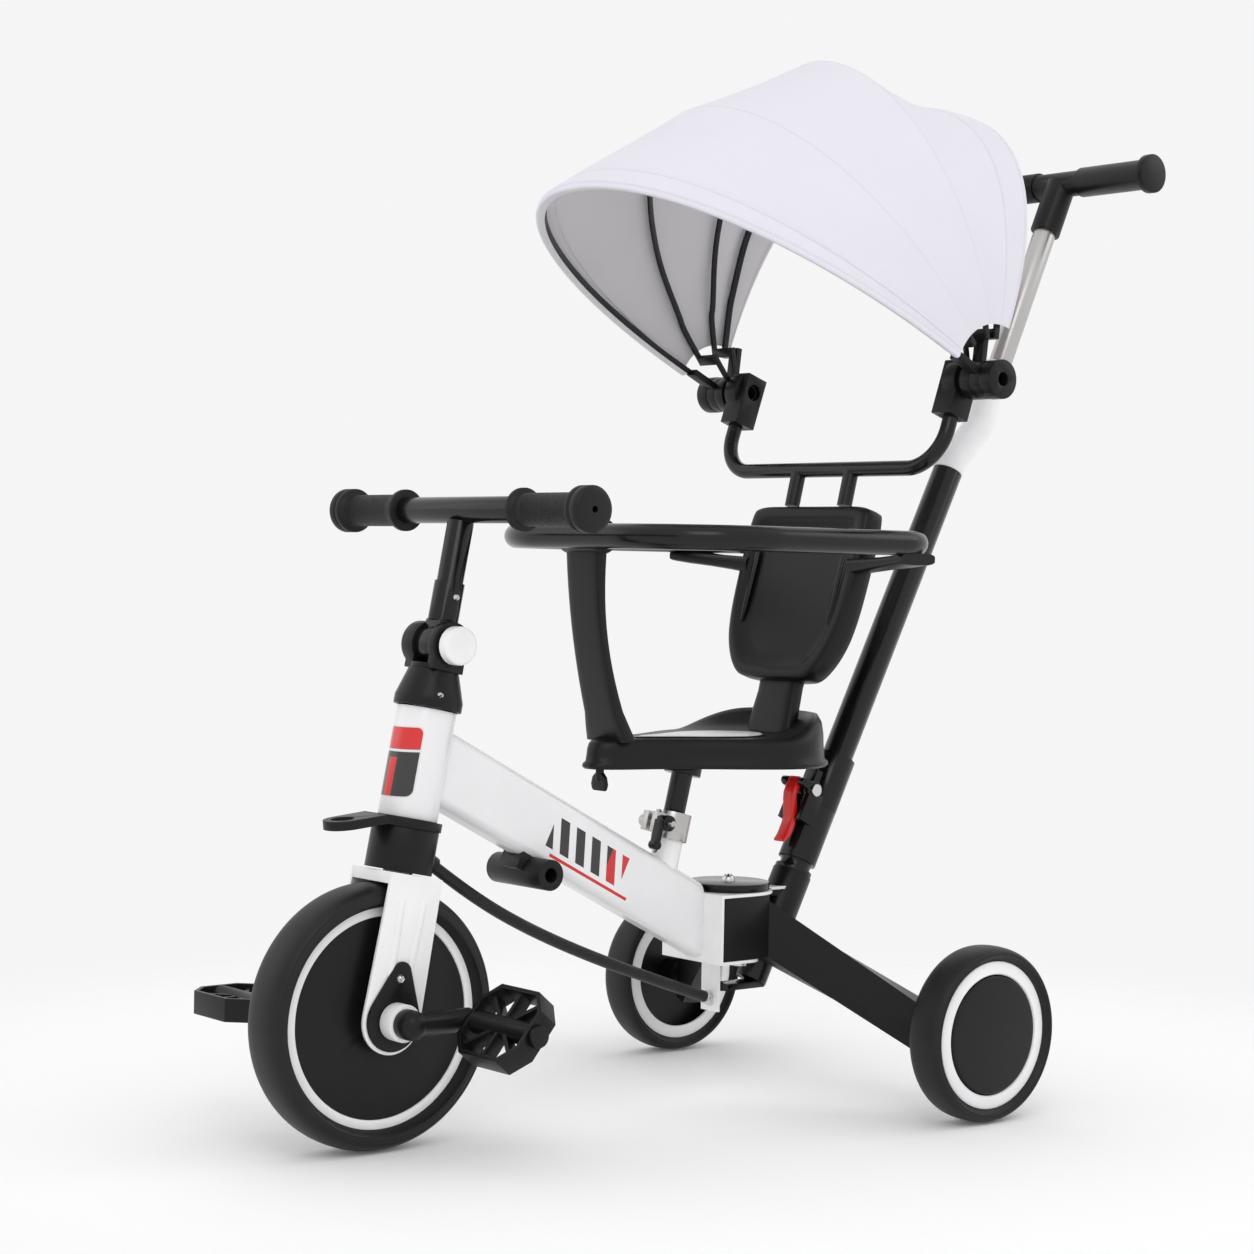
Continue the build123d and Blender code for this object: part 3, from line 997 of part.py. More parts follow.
def offset_sleeve():
    # a joggled sleeve: its foot sits in the black tube, its top holds the sliding tube
    top_s = push_s(PUSH_TOP)
    foot = rod(PUSH, top_s - 45, top_s + 2, PUSH_R - 2.1)
    points = [PUSH.from_local_coords((0, 0, s)) for s in (top_s + GAP, top_s + 14)]
    points += [HANDLE.from_local_coords((0, 0, s)) for s in (56, 90)]
    joggle = bent_tube(points, [25, 60], OFFSET_SLEEVE_R)
    barrel = rod(HANDLE, 89, SLEEVE_TOP_S, OFFSET_SLEEVE_R)
    return foot + joggle + barrel - rod(HANDLE, 74, SLEEVE_TOP_S + 1, INNER_R + RUN)


def handle():
    socket = rod(HANDLE, INNER_HIGH - 45, HANDLE_S, 17.0) - rod(HANDLE, INNER_HIGH - 46, INNER_HIGH + 0.1, INNER_R + 0.02)
    bar_plane = Plane(origin=HANDLE.from_local_coords((0, 0, HANDLE_S)), x_dir=(0, 1, 0), z_dir=(1, 0, 0))
    half = HANDLE_WIDTH / 2
    cross = rod(bar_plane, -half, half, HANDLE_R)
    grips = rod(bar_plane, 32, half - 8, HANDLE_GRIP_R) + rod(bar_plane, half - 8, half, HANDLE_CAP_R)
    grips += rod(bar_plane, -half + 8, -32, HANDLE_GRIP_R) + rod(bar_plane, -half, -half + 8, HANDLE_CAP_R)
    return socket + cross + grips - rod(HANDLE, INNER_HIGH - 46, INNER_HIGH + 0.1, INNER_R + 0.02)


front_end()
steering_head()
handlebar_parts()
frame_parts()
rear_end()
seat_parts()
canopy()
push_handle()
print("front axle at Y", round(AXLE_Y, 2), "total length", round(total_length, 1))
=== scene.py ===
# %% [markdown]
# # A child's tricycle, finished in Blender
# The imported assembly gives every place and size. This script dresses it: smooth edges on the moulded and
# welded parts, new meshes for tyres, seat, backrest, canopy cloth and hose, and a procedural finish on each.
# %% Load the frame
import json
from math import cos, pi, radians, sin

import bmesh
import bpy
from mathutils import Matrix, Vector


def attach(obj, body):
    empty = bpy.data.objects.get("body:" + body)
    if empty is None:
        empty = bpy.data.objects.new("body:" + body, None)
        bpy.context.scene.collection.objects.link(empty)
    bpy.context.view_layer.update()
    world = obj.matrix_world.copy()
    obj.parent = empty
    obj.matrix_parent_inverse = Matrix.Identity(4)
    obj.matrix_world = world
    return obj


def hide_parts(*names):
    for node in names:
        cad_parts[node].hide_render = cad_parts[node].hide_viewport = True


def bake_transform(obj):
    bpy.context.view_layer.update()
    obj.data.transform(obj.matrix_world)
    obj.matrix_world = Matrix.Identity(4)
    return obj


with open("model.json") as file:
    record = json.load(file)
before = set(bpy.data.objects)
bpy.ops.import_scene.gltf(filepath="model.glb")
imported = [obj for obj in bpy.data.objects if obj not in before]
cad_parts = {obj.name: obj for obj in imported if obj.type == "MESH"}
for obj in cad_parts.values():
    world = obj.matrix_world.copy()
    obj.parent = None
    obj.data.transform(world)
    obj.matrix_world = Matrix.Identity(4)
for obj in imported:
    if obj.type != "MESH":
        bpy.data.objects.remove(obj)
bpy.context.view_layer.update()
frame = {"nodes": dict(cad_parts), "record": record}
RECORD = frame["record"]
BODY_OF = {node: body for body, nodes in RECORD["behaviour"]["bodies"].items() for node in nodes}
SLOT_OF = {entry["node"]: entry["material_slot"] for entry in RECORD["subparts"]}
JOINT = {joint["name"]: joint for joint in RECORD["behaviour"]["joints"]}
MM = 0.001

# %% [markdown]
# Three slanted lines carry most of the trike: the head axis through the fork, the lower push tube and the seat
# tube. A small local frame on the first two lets a piece be placed by "so far up the tube, so far behind it".
# %% Local frames on the slanted tubes
X_AXIS = Vector((1, 0, 0))


class Place:
    """A point on the object with a side, a rearward and an upward direction."""

    def __init__(self, origin, up, side=X_AXIS):
        self.origin, self.up, self.side = Vector(origin), Vector(up).normalized(), Vector(side).normalized()
        self.rear = self.up.cross(self.side).normalized()

    def at(self, x, y, z):
        return self.origin + (self.side * x + self.rear * y + self.up * z) * MM

    def moved(self, x, y, z):
        return Place(self.at(x, y, z), self.up, self.side)


AXLE = Vector(JOINT["steering"]["pos_m"])
HEAD = Place(AXLE, JOINT["steering"]["axis"])
PUSH = Place(JOINT["push_turn"]["pos_m"], JOINT["push_turn"]["axis"])
HUB = Vector(JOINT["canopy_tilt"]["pos_m"])
BARREL = Vector(JOINT["handlebar_tilt"]["pos_m"])
print("axle", AXLE[:], "hub", HUB[:], "barrel", BARREL[:])

# %% [markdown]
# The eye stands low, to the left of the front wheel, and looks back along the trike with a long lens, so
# upright lines stay nearly upright. The camera leans by about one degree.
# %% Camera
VIEW_ROUND, VIEW_UP, VIEW_LEAN = radians(50.31), radians(1.33), radians(1.17)
towards_eye = Vector((sin(VIEW_ROUND) * cos(VIEW_UP), -cos(VIEW_ROUND) * cos(VIEW_UP), sin(VIEW_UP)))
level_right = (-towards_eye).cross(Vector((0, 0, 1))).normalized()
level_up = level_right.cross(-towards_eye)
right = level_right * cos(VIEW_LEAN) + level_up * sin(VIEW_LEAN)
upward = level_up * cos(VIEW_LEAN) - level_right * sin(VIEW_LEAN)
lens = bpy.data.cameras.new("camera")
lens.lens, lens.sensor_width = 75.80, 36.0
camera = bpy.data.objects.new("camera", lens)
camera.matrix_world = Matrix((right, upward, towards_eye)).transposed().to_4x4()
camera.location = (2.0332, AXLE.y - 1.3881, 0.5487)
bpy.context.collection.objects.link(camera)
bpy.context.scene.camera = camera
print("camera", camera.location[:])

# %% [markdown]
# A white studio: the sky is the background and the soft fill in one, a broad lamp above and in front gives the
# long highlights on the tubes, and a weaker one behind lifts the dark plastic off the floor.
# %% Floor, sky and lamps
sky = bpy.data.worlds.new("studio")
sky.use_nodes = True
sky.node_tree.nodes["Background"].inputs["Color"].default_value = (0.915, 0.915, 0.915, 1)
sky.node_tree.nodes["Background"].inputs["Strength"].default_value = 1.0
bpy.context.scene.world = sky
bpy.context.scene.view_settings.view_transform = "Standard"


def lamp(name, place, aim, size, power):
    light = bpy.data.lights.new(name, "AREA")
    light.size, light.energy = size, power
    obj = bpy.data.objects.new(name, light)
    obj.location = place
    obj.rotation_euler = (Vector(aim) - Vector(place)).to_track_quat("-Z", "Y").to_euler()
    bpy.context.collection.objects.link(obj)
    return obj


lamp("key", (1.9, -1.6, 2.4), (0, 0, 0.5), 1.3, 11)
lamp("fill", (-1.8, -1.9, 1.5), (0, 0, 0.4), 1.5, 3)
lamp("rim", (1.2, 2.2, 2.0), (0, 0, 0.6), 1.2, 5)

# %% [markdown]
# Finishes are small node trees. Writing them as sums keeps them readable, so one class wraps a socket and
# turns + - * / and comparisons into Math nodes. Anything else goes through one method that makes a node.
# %% Shader maths
class Wire:
    def __init__(self, finish, socket):
        self.finish, self.socket = finish, socket

    def maths(self, operation, first, second):
        return self.finish.node("ShaderNodeMath", {"operation": operation}, {0: first, 1: second})

    def __add__(self, other): return self.maths("ADD", self, other)
    def __radd__(self, other): return self.maths("ADD", other, self)
    def __sub__(self, other): return self.maths("SUBTRACT", self, other)
    def __rsub__(self, other): return self.maths("SUBTRACT", other, self)
    def __mul__(self, other): return self.maths("MULTIPLY", self, other)
    def __rmul__(self, other): return self.maths("MULTIPLY", other, self)
    def __truediv__(self, other): return self.maths("DIVIDE", self, other)
    def __gt__(self, other): return self.maths("GREATER_THAN", self, other)
    def __lt__(self, other): return self.maths("LESS_THAN", self, other)
    def __abs__(self): return self.maths("ABSOLUTE", self, 0)


class Finish:
    """One material: its node tree, its main shader and short words for the nodes it needs."""

    def __init__(self, name, color, roughness, **fixed):
        self.material = bpy.data.materials.new(name)
        self.material.use_nodes = True
        self.tree = self.material.node_tree
        self.shader = self.tree.nodes["Principled BSDF"]
        self.color = tuple(color) + (1,)
        self.shader.inputs["Base Color"].default_value = self.color
        self.shader.inputs["Roughness"].default_value = roughness
        self.roughness = roughness
        for key, value in fixed.items():
            self.shader.inputs[key.replace("_", " ")].default_value = value
        self.material.diffuse_color = self.color

    def node(self, kind, settings=None, inputs=None, out=0):
        made = self.tree.nodes.new(kind)
        for key, value in (settings or {}).items():
            setattr(made, key, value)
        for key, value in (inputs or {}).items():
            socket = made.inputs[key]
            if isinstance(value, Wire):
                self.tree.links.new(value.socket, socket)
            else:
                socket.default_value = value
        return Wire(self, made.outputs[out])

    def place(self):
        return self.node("ShaderNodeTexCoord", out="Object")

    def uv(self):
        return self.node("ShaderNodeTexCoord", out="UV")

    def parts(self, vector):
        split = self.node("ShaderNodeSeparateXYZ", inputs={0: vector})
        return [Wire(self, output) for output in split.socket.node.outputs]

    def noise(self, scale, detail=3.0, vector=None):
        inputs = {"Vector": vector or self.place(), "Scale": scale, "Detail": detail}
        return self.node("ShaderNodeTexNoise", inputs=inputs)

    def blend(self, amount, a, b):
        return self.node("ShaderNodeMix", {"data_type": "RGBA"}, {0: amount, 6: a, 7: b}, out=2)

    def paint(self, color=None, roughness=None, height=None, depth=0.0002, strength=1.0):
        if color is not None:
            self.tree.links.new(color.socket, self.shader.inputs["Base Color"])
        if roughness is not None:
            self.tree.links.new(roughness.socket, self.shader.inputs["Roughness"])
        if height is not None:
            bump = self.node("ShaderNodeBump", inputs={"Strength": strength, "Distance": depth,
                                                       "Height": height})
            self.tree.links.new(bump.socket, self.shader.inputs["Normal"])
        return self


# %% [markdown]
# Moulded plastic has a fine spark-eroded grain, and its gloss changes a little from place to place. Paint is
# smoother, with a faint orange-peel. Both come from one function with the grain size as its own value.
# %% Plastic, paint and metal finishes
def moulded(name, color, roughness, grain=2600, depth=0.00006, cloud=0.05, **fixed):
    f = Finish(name, color, roughness, **fixed)
    cloudy = f.noise(14, 4)
    lighter = tuple(min(1, c * 1.16 + 0.002) for c in color) + (1,)
    darker = tuple(c * 0.9 for c in color) + (1,)
    f.paint(f.blend(cloudy, darker, lighter), roughness + (cloudy - 0.5) * cloud * 4, f.noise(grain, 2),
            depth, 0.6)
    return f.material


MATERIAL = {
    "black_plastic": moulded("black_plastic", (0.0045, 0.0045, 0.005), 0.36, cloud=0.04,
                             Specular_IOR_Level=0.26),
    "black_gloss": moulded("black_gloss", (0.004, 0.004, 0.0045), 0.18, 900, 0.00002, 0.03,
                           Specular_IOR_Level=0.3),
    "black_paint": moulded("black_paint", (0.004, 0.004, 0.0045), 0.2, 700, 0.00003, 0.03,
                           Specular_IOR_Level=0.34),
    "white_paint": moulded("white_paint", (0.87, 0.865, 0.88), 0.24, 700, 0.00003, 0.03, Coat_Weight=0.3,
                           Coat_Roughness=0.1),
    "white_plastic": moulded("white_plastic", (0.86, 0.86, 0.885), 0.3, 1500, 0.00003, 0.03),
    "red_plastic": moulded("red_plastic", (0.78, 0.012, 0.012), 0.26, 1500, 0.00003, 0.03),
    "steel": moulded("steel", (0.62, 0.62, 0.6), 0.28, 1800, 0.00004, 0.06, Metallic=1.0),
    "silver": moulded("silver", (0.5, 0.485, 0.475), 0.3, 1200, 0.00003, 0.05, Metallic=1.0),
    "black_fabric_strap": moulded("strap_plastic", (0.0045, 0.0045, 0.005), 0.36, Specular_IOR_Level=0.28),
}
print("finishes", len(MATERIAL))

# %% [markdown]
# Foam tyres are matt, with tiny closed cells and a faint dusting on the tread. The grips are softer still.
# The hose is a ribbed plastic sheath: its ribs are stripes set by each point's depth and height in the object's own
# space.
# %% Tyre, grip and hose finishes
def tyre_foam():
    f = Finish("tyre_foam", (0.006, 0.006, 0.0065), 0.42, Specular_IOR_Level=0.32)
    cells = f.node("ShaderNodeTexVoronoi", inputs={"Vector": f.place(), "Scale": 1500})
    dust = f.noise(35, 5)
    color = f.blend(dust, (0.004, 0.004, 0.0045, 1), (0.011, 0.011, 0.0115, 1))
    f.paint(color, 0.38 + dust * 0.14, cells + f.noise(220, 3) * 0.5, 0.00012, 0.5)
    return f.material


def hose_sheath():
    f = Finish("hose_black", (0.005, 0.005, 0.0055), 0.34, Specular_IOR_Level=0.35)
    x, y, z = f.parts(f.place())
    ribs = f.node("ShaderNodeMath", {"operation": "SINE"}, {0: (y - z * 0.5) * 3300})
    f.paint(f.blend(f.noise(60), (0.004, 0.004, 0.0045, 1), (0.009, 0.009, 0.01, 1)),
            0.3 + f.noise(40) * 0.14, ribs, 0.0002, 0.8)
    return f.material


MATERIAL["tyre_foam"] = tyre_foam()
MATERIAL["hose_black"] = hose_sheath()

# %% [markdown]
# The main beam carries a printed decoration. Ours is plain: slanted bars, dark and then red along the
# beam. They are worked out from distances along and across the beam, and only show on its flat sides.
# %% Beam paint with slanted bars
BEAM_SLOPE = radians(27.07)
beam_mid = Vector((0, AXLE.y + 0.2405, 0.2664))


def slanted_bars():
    f = Finish("beam_paint", (0.87, 0.865, 0.88), 0.24, Coat_Weight=0.3, Coat_Roughness=0.1)
    x, y, z = f.parts(f.place())
    along = (y - beam_mid.y) * cos(BEAM_SLOPE) - (z - beam_mid.z) * sin(BEAM_SLOPE)
    rise = (y - beam_mid.y) * sin(BEAM_SLOPE) + (z - beam_mid.z) * cos(BEAM_SLOPE)
    lean = along + rise * 0.45
    step = f.node("ShaderNodeMath", {"operation": "PINGPONG"}, {0: lean, 1: 0.011})
    bars = (step > 0.0048) * (abs(along) < 0.052) * (abs(rise) < 0.016) * (abs(x) > 0.0165)
    red = (along > 0.028) * bars
    line = (abs(rise + 0.022) < 0.0016) * (abs(along - 0.012) < 0.055) * (abs(x) > 0.0165)
    cloud = f.noise(14, 4)
    base = f.blend(cloud, (0.80, 0.795, 0.81, 1), (0.9, 0.895, 0.91, 1))
    dark = f.blend(bars, base, (0.02, 0.02, 0.022, 1))
    full = f.blend(f.node("ShaderNodeMath", {"operation": "MAXIMUM"}, {0: red, 1: line}), dark,
                   (0.62, 0.012, 0.014, 1))
    f.paint(full, 0.22 + cloud * 0.06, f.noise(700), 0.00003, 0.5)
    return f.material


# %% [markdown]
# The head tube has a printed patch on its front. A plain one stands in for it: a red band over a charcoal
# field, with rounded corners, wrapped round the tube by the angle about its axis.
# %% Head tube paint with a plain patch
def head_patch():
    f = Finish("head_paint", (0.87, 0.865, 0.88), 0.22, Coat_Weight=0.35, Coat_Roughness=0.08)
    x, y, z = f.parts(f.place())
    lean = HEAD.up.y / HEAD.up.z
    behind = y - AXLE.y - (z - AXLE.z) * lean
    turn = f.node("ShaderNodeMath", {"operation": "ARCTAN2"}, {0: x, 1: 0 - behind}) * 0.0285
    rise = (z - 0.362) / HEAD.up.z
    corner_x = f.node("ShaderNodeMath", {"operation": "MAXIMUM"}, {0: abs(turn) - 0.021, 1: 0.0})
    corner_y = f.node("ShaderNodeMath", {"operation": "MAXIMUM"}, {0: abs(rise) - 0.026, 1: 0.0})
    reach = f.node("ShaderNodeMath", {"operation": "SQRT"}, {0: corner_x * corner_x + corner_y * corner_y})
    field = reach < 0.008
    edge = field * (reach > 0.0066)
    band = field * (rise > 0.012)
    rule = field * (abs(rise - 0.0105) < 0.0012)
    bars = field * (rise < 0.004) * (abs(turn) < 0.0055)
    cloud = f.noise(14, 4)
    base = f.blend(cloud, (0.80, 0.795, 0.81, 1), (0.9, 0.895, 0.91, 1))
    dark = f.blend(field, base, (0.022, 0.022, 0.024, 1))
    red = f.blend(f.node("ShaderNodeMath", {"operation": "MAXIMUM"}, {0: band, 1: bars}), dark,
                  (0.66, 0.014, 0.014, 1))
    white = f.blend(f.node("ShaderNodeMath", {"operation": "MAXIMUM"}, {0: rule, 1: edge}), red,
                    (0.75, 0.75, 0.76, 1))
    f.paint(white, 0.2 + cloud * 0.06, f.noise(700), 0.00003, 0.5)
    return f.material


MATERIAL["beam"] = slanted_bars()
MATERIAL["head"] = head_patch()

# %% [markdown]
# Canopy cloth is a plain polyester weave, pale lilac outside and coated grey inside. Each panel carries a UV
# map in metres, along the bow and across the panel, so the threads follow the sewn shape. A second value in
# the mesh, "seam", darkens the cloth where it runs into a seam.
# %% Cloth finishes
def weave(name, color, shade, roughness):
    f = Finish(name, color, roughness, Sheen_Weight=0.25, Sheen_Roughness=0.4)
    u, v, _ = f.parts(f.uv())
    warp = f.node("ShaderNodeMath", {"operation": "SINE"}, {0: u * 5200})
    weft = f.node("ShaderNodeMath", {"operation": "SINE"}, {0: v * 5200})
    crease_with_painted_shade = f.noise(9, 5, f.uv())
    seam = f.node("ShaderNodeAttribute", {"attribute_name": "seam"}, out="Fac")
    stitch = seam * (f.node("ShaderNodeMath", {"operation": "SINE"}, {0: u * 2200}) > 0.2)
    # painted shade: the cloth colour is made up to 5% darker in the hollows of the crease relief
    color_here = f.blend(crease_with_painted_shade, tuple(c * 0.95 for c in color) + (1,), tuple(color) + (1,))
    color_here = f.blend(seam * 0.4 + stitch * 0.25, color_here, tuple(shade) + (1,))
    f.paint(color_here, roughness + crease_with_painted_shade * 0.1, warp * weft + crease_with_painted_shade * 6, 0.00025, 0.45)
    return f.material


MATERIAL["cloth"] = weave("canopy_fabric", (0.86, 0.84, 0.925), (0.66, 0.64, 0.72), 0.78)
MATERIAL["lining"] = weave("canopy_lining", (0.74, 0.72, 0.75), (0.5, 0.48, 0.5), 0.7)
print("cloth finishes ready")

# %% [markdown]
# Every mesh ends the same way: doubles merged, faces turned outwards, smooth shading broken at sharp edges,
# then handed to its body with its material. One function does this, so no piece is forgotten.
# %% Finishing a mesh
def piece(name, verts, faces, material, body, slot, *nodes, sharp=35, merge=1e-6):
    shape = bmesh.new()
    made = [shape.verts.new(v) for v in verts]
    for face in faces:
        shape.faces.new([made[i] for i in face])
    bmesh.ops.remove_doubles(shape, verts=shape.verts, dist=merge)
    bmesh.ops.recalc_face_normals(shape, faces=shape.faces)
    mesh = bpy.data.meshes.new(name)
    shape.to_mesh(mesh)
    shape.free()
    return settle(bpy.data.objects.new(name, mesh), material, body, slot, *nodes, sharp=sharp)


def settle(obj, material, body, slot, *nodes, sharp=35):
    if obj.name not in bpy.context.collection.objects:
        bpy.context.collection.objects.link(obj)
    if not obj.data.materials:
        obj.data.materials.append(material)
    obj.data.polygons.foreach_set("use_smooth", [True] * len(obj.data.polygons))
    obj.data.set_sharp_from_angle(angle=radians(sharp))
    if body:
        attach(obj, body)
    if nodes:
        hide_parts(*nodes)
    return obj


def ring_faces(rows, columns, wrap_rows=True, wrap_columns=True):
    faces = []
    for i in range(rows if wrap_rows else rows - 1):
        for j in range(columns if wrap_columns else columns - 1):
            a, b = i * columns + j, i * columns + (j + 1) % columns
            c, d = ((i + 1) % rows) * columns + (j + 1) % columns, ((i + 1) % rows) * columns + j
            faces.append((a, b, c, d))
    return faces


def lathe(name, outline, origin, axis, material, body, slot, *nodes, turns=96, sharp=35):
    """outline is a closed loop of (radius, distance along the axis), in millimetres."""
    axis = Vector(axis).normalized()
    side = axis.orthogonal().normalized()
    other = axis.cross(side)
    verts = []
    for i in range(turns):
        a = 2 * pi * i / turns
        out = side * cos(a) + other * sin(a)
        verts += [Vector(origin) + (out * r + axis * t) * MM for r, t in outline]
    faces = ring_faces(turns, len(outline))
    return piece(name, verts, faces, material, body, slot, *nodes, sharp=sharp, merge=2e-6)


# %% [markdown]
# Most moulded and welded parts keep their engineered shape, but no real edge is razor sharp. A copy of the
# part is merged, its edges are rounded a little with a Bevel modifier, and it takes the place of the plain one.
# %% Rounded copies of the engineered parts
def rounded(node, width=0.8, material=None, segments=2, angle=40):
    source = frame["nodes"][node]
    mesh = source.data.copy()
    mesh.materials.clear()
    shape = bmesh.new()
    shape.from_mesh(mesh)
    bmesh.ops.remove_doubles(shape, verts=shape.verts, dist=2e-6)
    bmesh.ops.dissolve_limit(shape, angle_limit=radians(0.6), verts=shape.verts, edges=shape.edges)
    shape.to_mesh(mesh)
    shape.free()
    if "custom_normal" in mesh.attributes:
        mesh.attributes.remove(mesh.attributes["custom_normal"])
    obj = bpy.data.objects.new(node + "_finished", mesh)
    bpy.context.collection.objects.link(obj)
    if width:
        bevel = obj.modifiers.new("edge", "BEVEL")
        bevel.width, bevel.segments, bevel.limit_method = width * MM, segments, "ANGLE"
        bevel.angle_limit, bevel.harden_normals, bevel.use_clamp_overlap = radians(angle), False, True
        plain = bpy.data.meshes.new_from_object(obj.evaluated_get(bpy.context.evaluated_depsgraph_get()))
        obj.modifiers.clear()
        obj.data = plain
    obj.data.materials.clear()
    return settle(obj, material or MATERIAL[SLOT_OF[node]], BODY_OF[node], SLOT_OF[node], node)


KEEP = {
    "hinge_housing": 0.8, "hinge_pins": 0.6, "seat_tube": 0.4, "headset_bearings": 0.3, "steering_collar": 1.0,
    "pedal_holder": 1.2, "push_socket": 0.8, "seat_clamp": 0.5, "quick_release_lever": 1.2, "cable_pulley": 0.3,
    "headset_cover": 0.8, "stem_knuckle": 1.6, "axle_covers": 1.2, "stem": 0.5, "handlebar": 0.4, "tilt_button": 0.0,
    "front_rim": 0.6, "front_trim": 0.5, "front_axle": 0.3, "cranks": 1.0, "crank_collars": 0.8, "pedal_left": 0.7,
    "pedal_right": 0.7, "rear_arm_left": 2.2, "rear_arm_right": 2.2, "seat_post": 0.4, "guard_ring": 0.0,
    "canopy_bracket": 0.0, "canopy_clamps": 1.6, "canopy_hub_pins": 0.8, "rib_front": 0.7, "rib_second": 0.6,
    "rib_third": 0.6, "rib_rear": 0.7, "push_tube_lower": 0.8, "push_fold_pin": 0.5, "push_tube_upper": 0.8,
    "push_offset_sleeve": 0.8, "push_tube_inner": 0.3, "push_handle": 0.9, "steering_switch": 1.0, "fork": 1.0,
    "hinge_cover": 1.0,
}
for node, width in KEEP.items():
    rounded(node, width)
rounded("main_beam", 0.5, MATERIAL["beam"])
rounded("head_tube", 0.6, MATERIAL["head"])
print("rounded copies", len(KEEP) + 2)

# %% [markdown]
# The tyres are turned foam rings. A tread arc, a shoulder and two or three shallow grooves make the section;
# spinning it round the axle gives the whole tyre, which is how a real mould is cut too.
# %% Tyres and rear wheel faces
def tyre_outline(radius, bead, half, bead_half, grooves):
    points = [(bead, -bead_half), (bead + 3, -bead_half - 1.6)]
    crown = 22
    for i in range(crown * 2 + 1):
        a = -pi / 2 + pi * i / (crown * 2)
        wide = abs(sin(a)) ** 0.9 * (1 if a > 0 else -1)
        mid = bead + 5.5
        r = mid + (radius - mid) * max(0.0, cos(a)) ** 0.62
        t = half * wide
        dip = sum(0.8 for g in grooves if abs(r - g) < 0.9)
        points.append((r - dip * 0.4, t - dip * (1 if t > 0 else -1)))
    return points + [(bead + 3, bead_half + 1.6), (bead, bead_half)]


WHEELS = {"left": Vector(JOINT["rear_wheel_left_spin"]["pos_m"]),
          "right": Vector(JOINT["rear_wheel_right_spin"]["pos_m"])}
front = lathe("front_tyre_finished", tyre_outline(125, 103.6, 27, 18, (108, 111, 116)), AXLE, X_AXIS,
              MATERIAL["tyre_foam"], "front_wheel", SLOT_OF["front_tyre"], "front_tyre", turns=160, sharp=60)
for name, centre in WHEELS.items():
    side = 1 if name == "left" else -1
    middle = Vector((side * 0.2375, centre.y, centre.z))
    body = "rear_wheel_" + name
    lathe(body + "_tyre", tyre_outline(88, 74, 20, 14, (78, 81)), middle, X_AXIS * side,
          MATERIAL["tyre_foam"], body,
          SLOT_OF["rear_tyre_" + name], "rear_tyre_" + name, turns=128, sharp=60)
    rounded("rear_rim_" + name, 0.6, MATERIAL["black_plastic"])
    for facing, tag in ((1, "outside"), (-1, "inside")):
        low = 13.4 if facing > 0 else 13.2
        ring = [(60.5, low), (60.5, low + 1.0), (61.7, low + 2.3), (71.2, low + 2.5), (73.6, low + 1.2),
                (73.6, low)]
        lathe(f"{body}_ring_{tag}", ring, middle, X_AXIS * side * facing, MATERIAL["white_plastic"], body,
              SLOT_OF["rear_rim_" + name], turns=128)
    cap = [(0.01, 14.6), (0.01, 17.4), (52, 17.2), (57.6, 16.4), (59.2, 14.9), (59.2, 14.4)]
    lathe(body + "_cap", cap, middle, X_AXIS * side, MATERIAL["black_plastic"], body,
          SLOT_OF["rear_rim_" + name], turns=96)
print("tyres and rear wheel faces")

# %% [markdown]
# The seat is a blow-moulded shell: a teardrop in plan with a flared lower lip, a rolled top edge and a cup that
# rises behind the child. Each ring of the mesh is the same teardrop, drawn in a little and set at its own height.
# %% Seat, pad and inlay border
SEAT_MID, SEAT_HALF = AXLE.y / MM + 250 + 145, 145


def smooth(t, low=0.0, high=1.0):
    t = min(1.0, max(0.0, (t - low) / (high - low)))
    return t * t * (3 - 2 * t)


def teardrop(count, inset):
    points = []
    for i in range(count):
        a = 2 * pi * i / count
        u = (1 - cos(a)) / 2
        wide = abs(sin(a)) ** 0.85 * (38 + 77 * smooth(u, 0.15, 0.85)) * (1 if sin(a) >= 0 else -1)
        points.append((wide * (1 - inset / 100), SEAT_MID - cos(a) * SEAT_HALF * (1 - inset / 118), u))
    return points


def rings(name, levels, count, outline, material, body, slot, *nodes, sharp=50):
    """levels are (inset, height function of the place along the outline)."""
    verts, faces = [], []
    for inset, height in levels:
        verts += [Vector((x, y, height(x, y, u))) * MM for x, y, u in outline(count, inset)]
    faces = ring_faces(len(levels), count, wrap_rows=False)
    faces.append(tuple(range(count)))
    faces.append(tuple(range((len(levels) - 1) * count, len(levels) * count)))
    return piece(name, verts, faces, material, body, slot, *nodes, sharp=sharp)


def cupped(base, gain):
    return lambda x, y, u: base + gain * smooth(u, 0.66, 0.97)


saddle_levels = [(6, cupped(349, 0)), (2, cupped(346.5, 0)), (0, cupped(348.5, 0)), (0.4, cupped(351.5, 0)),
                 (3.2, cupped(354, 0)), (4.2, cupped(361, 6)), (4.6, cupped(366, 14)),
                 (6.2, cupped(371.5, 21)),
                 (9.5, cupped(375.2, 24.5)), (14, cupped(376.6, 24.0)), (19, cupped(376.4, 19)),
                 (28, cupped(375.8, 10)),
                 (40, cupped(375.6, 3)), (60, cupped(375.8, 0)), (80, cupped(376, 0))]
rings("saddle_finished", saddle_levels, 120, teardrop, MATERIAL["black_plastic"], "seat", SLOT_OF["saddle"],
      "saddle")


def inlay(count, inset):
    points = []
    for i in range(count):
        a = 2 * pi * i / count
        u = (1 - cos(a)) / 2
        wide = sin(a) * (15 + 37 * smooth(u, 0.0, 0.85))
        points.append((wide * (1 - inset / 46), AXLE.y / MM + 397 - cos(a) * 84 * (1 - inset / 84), u))
    return points


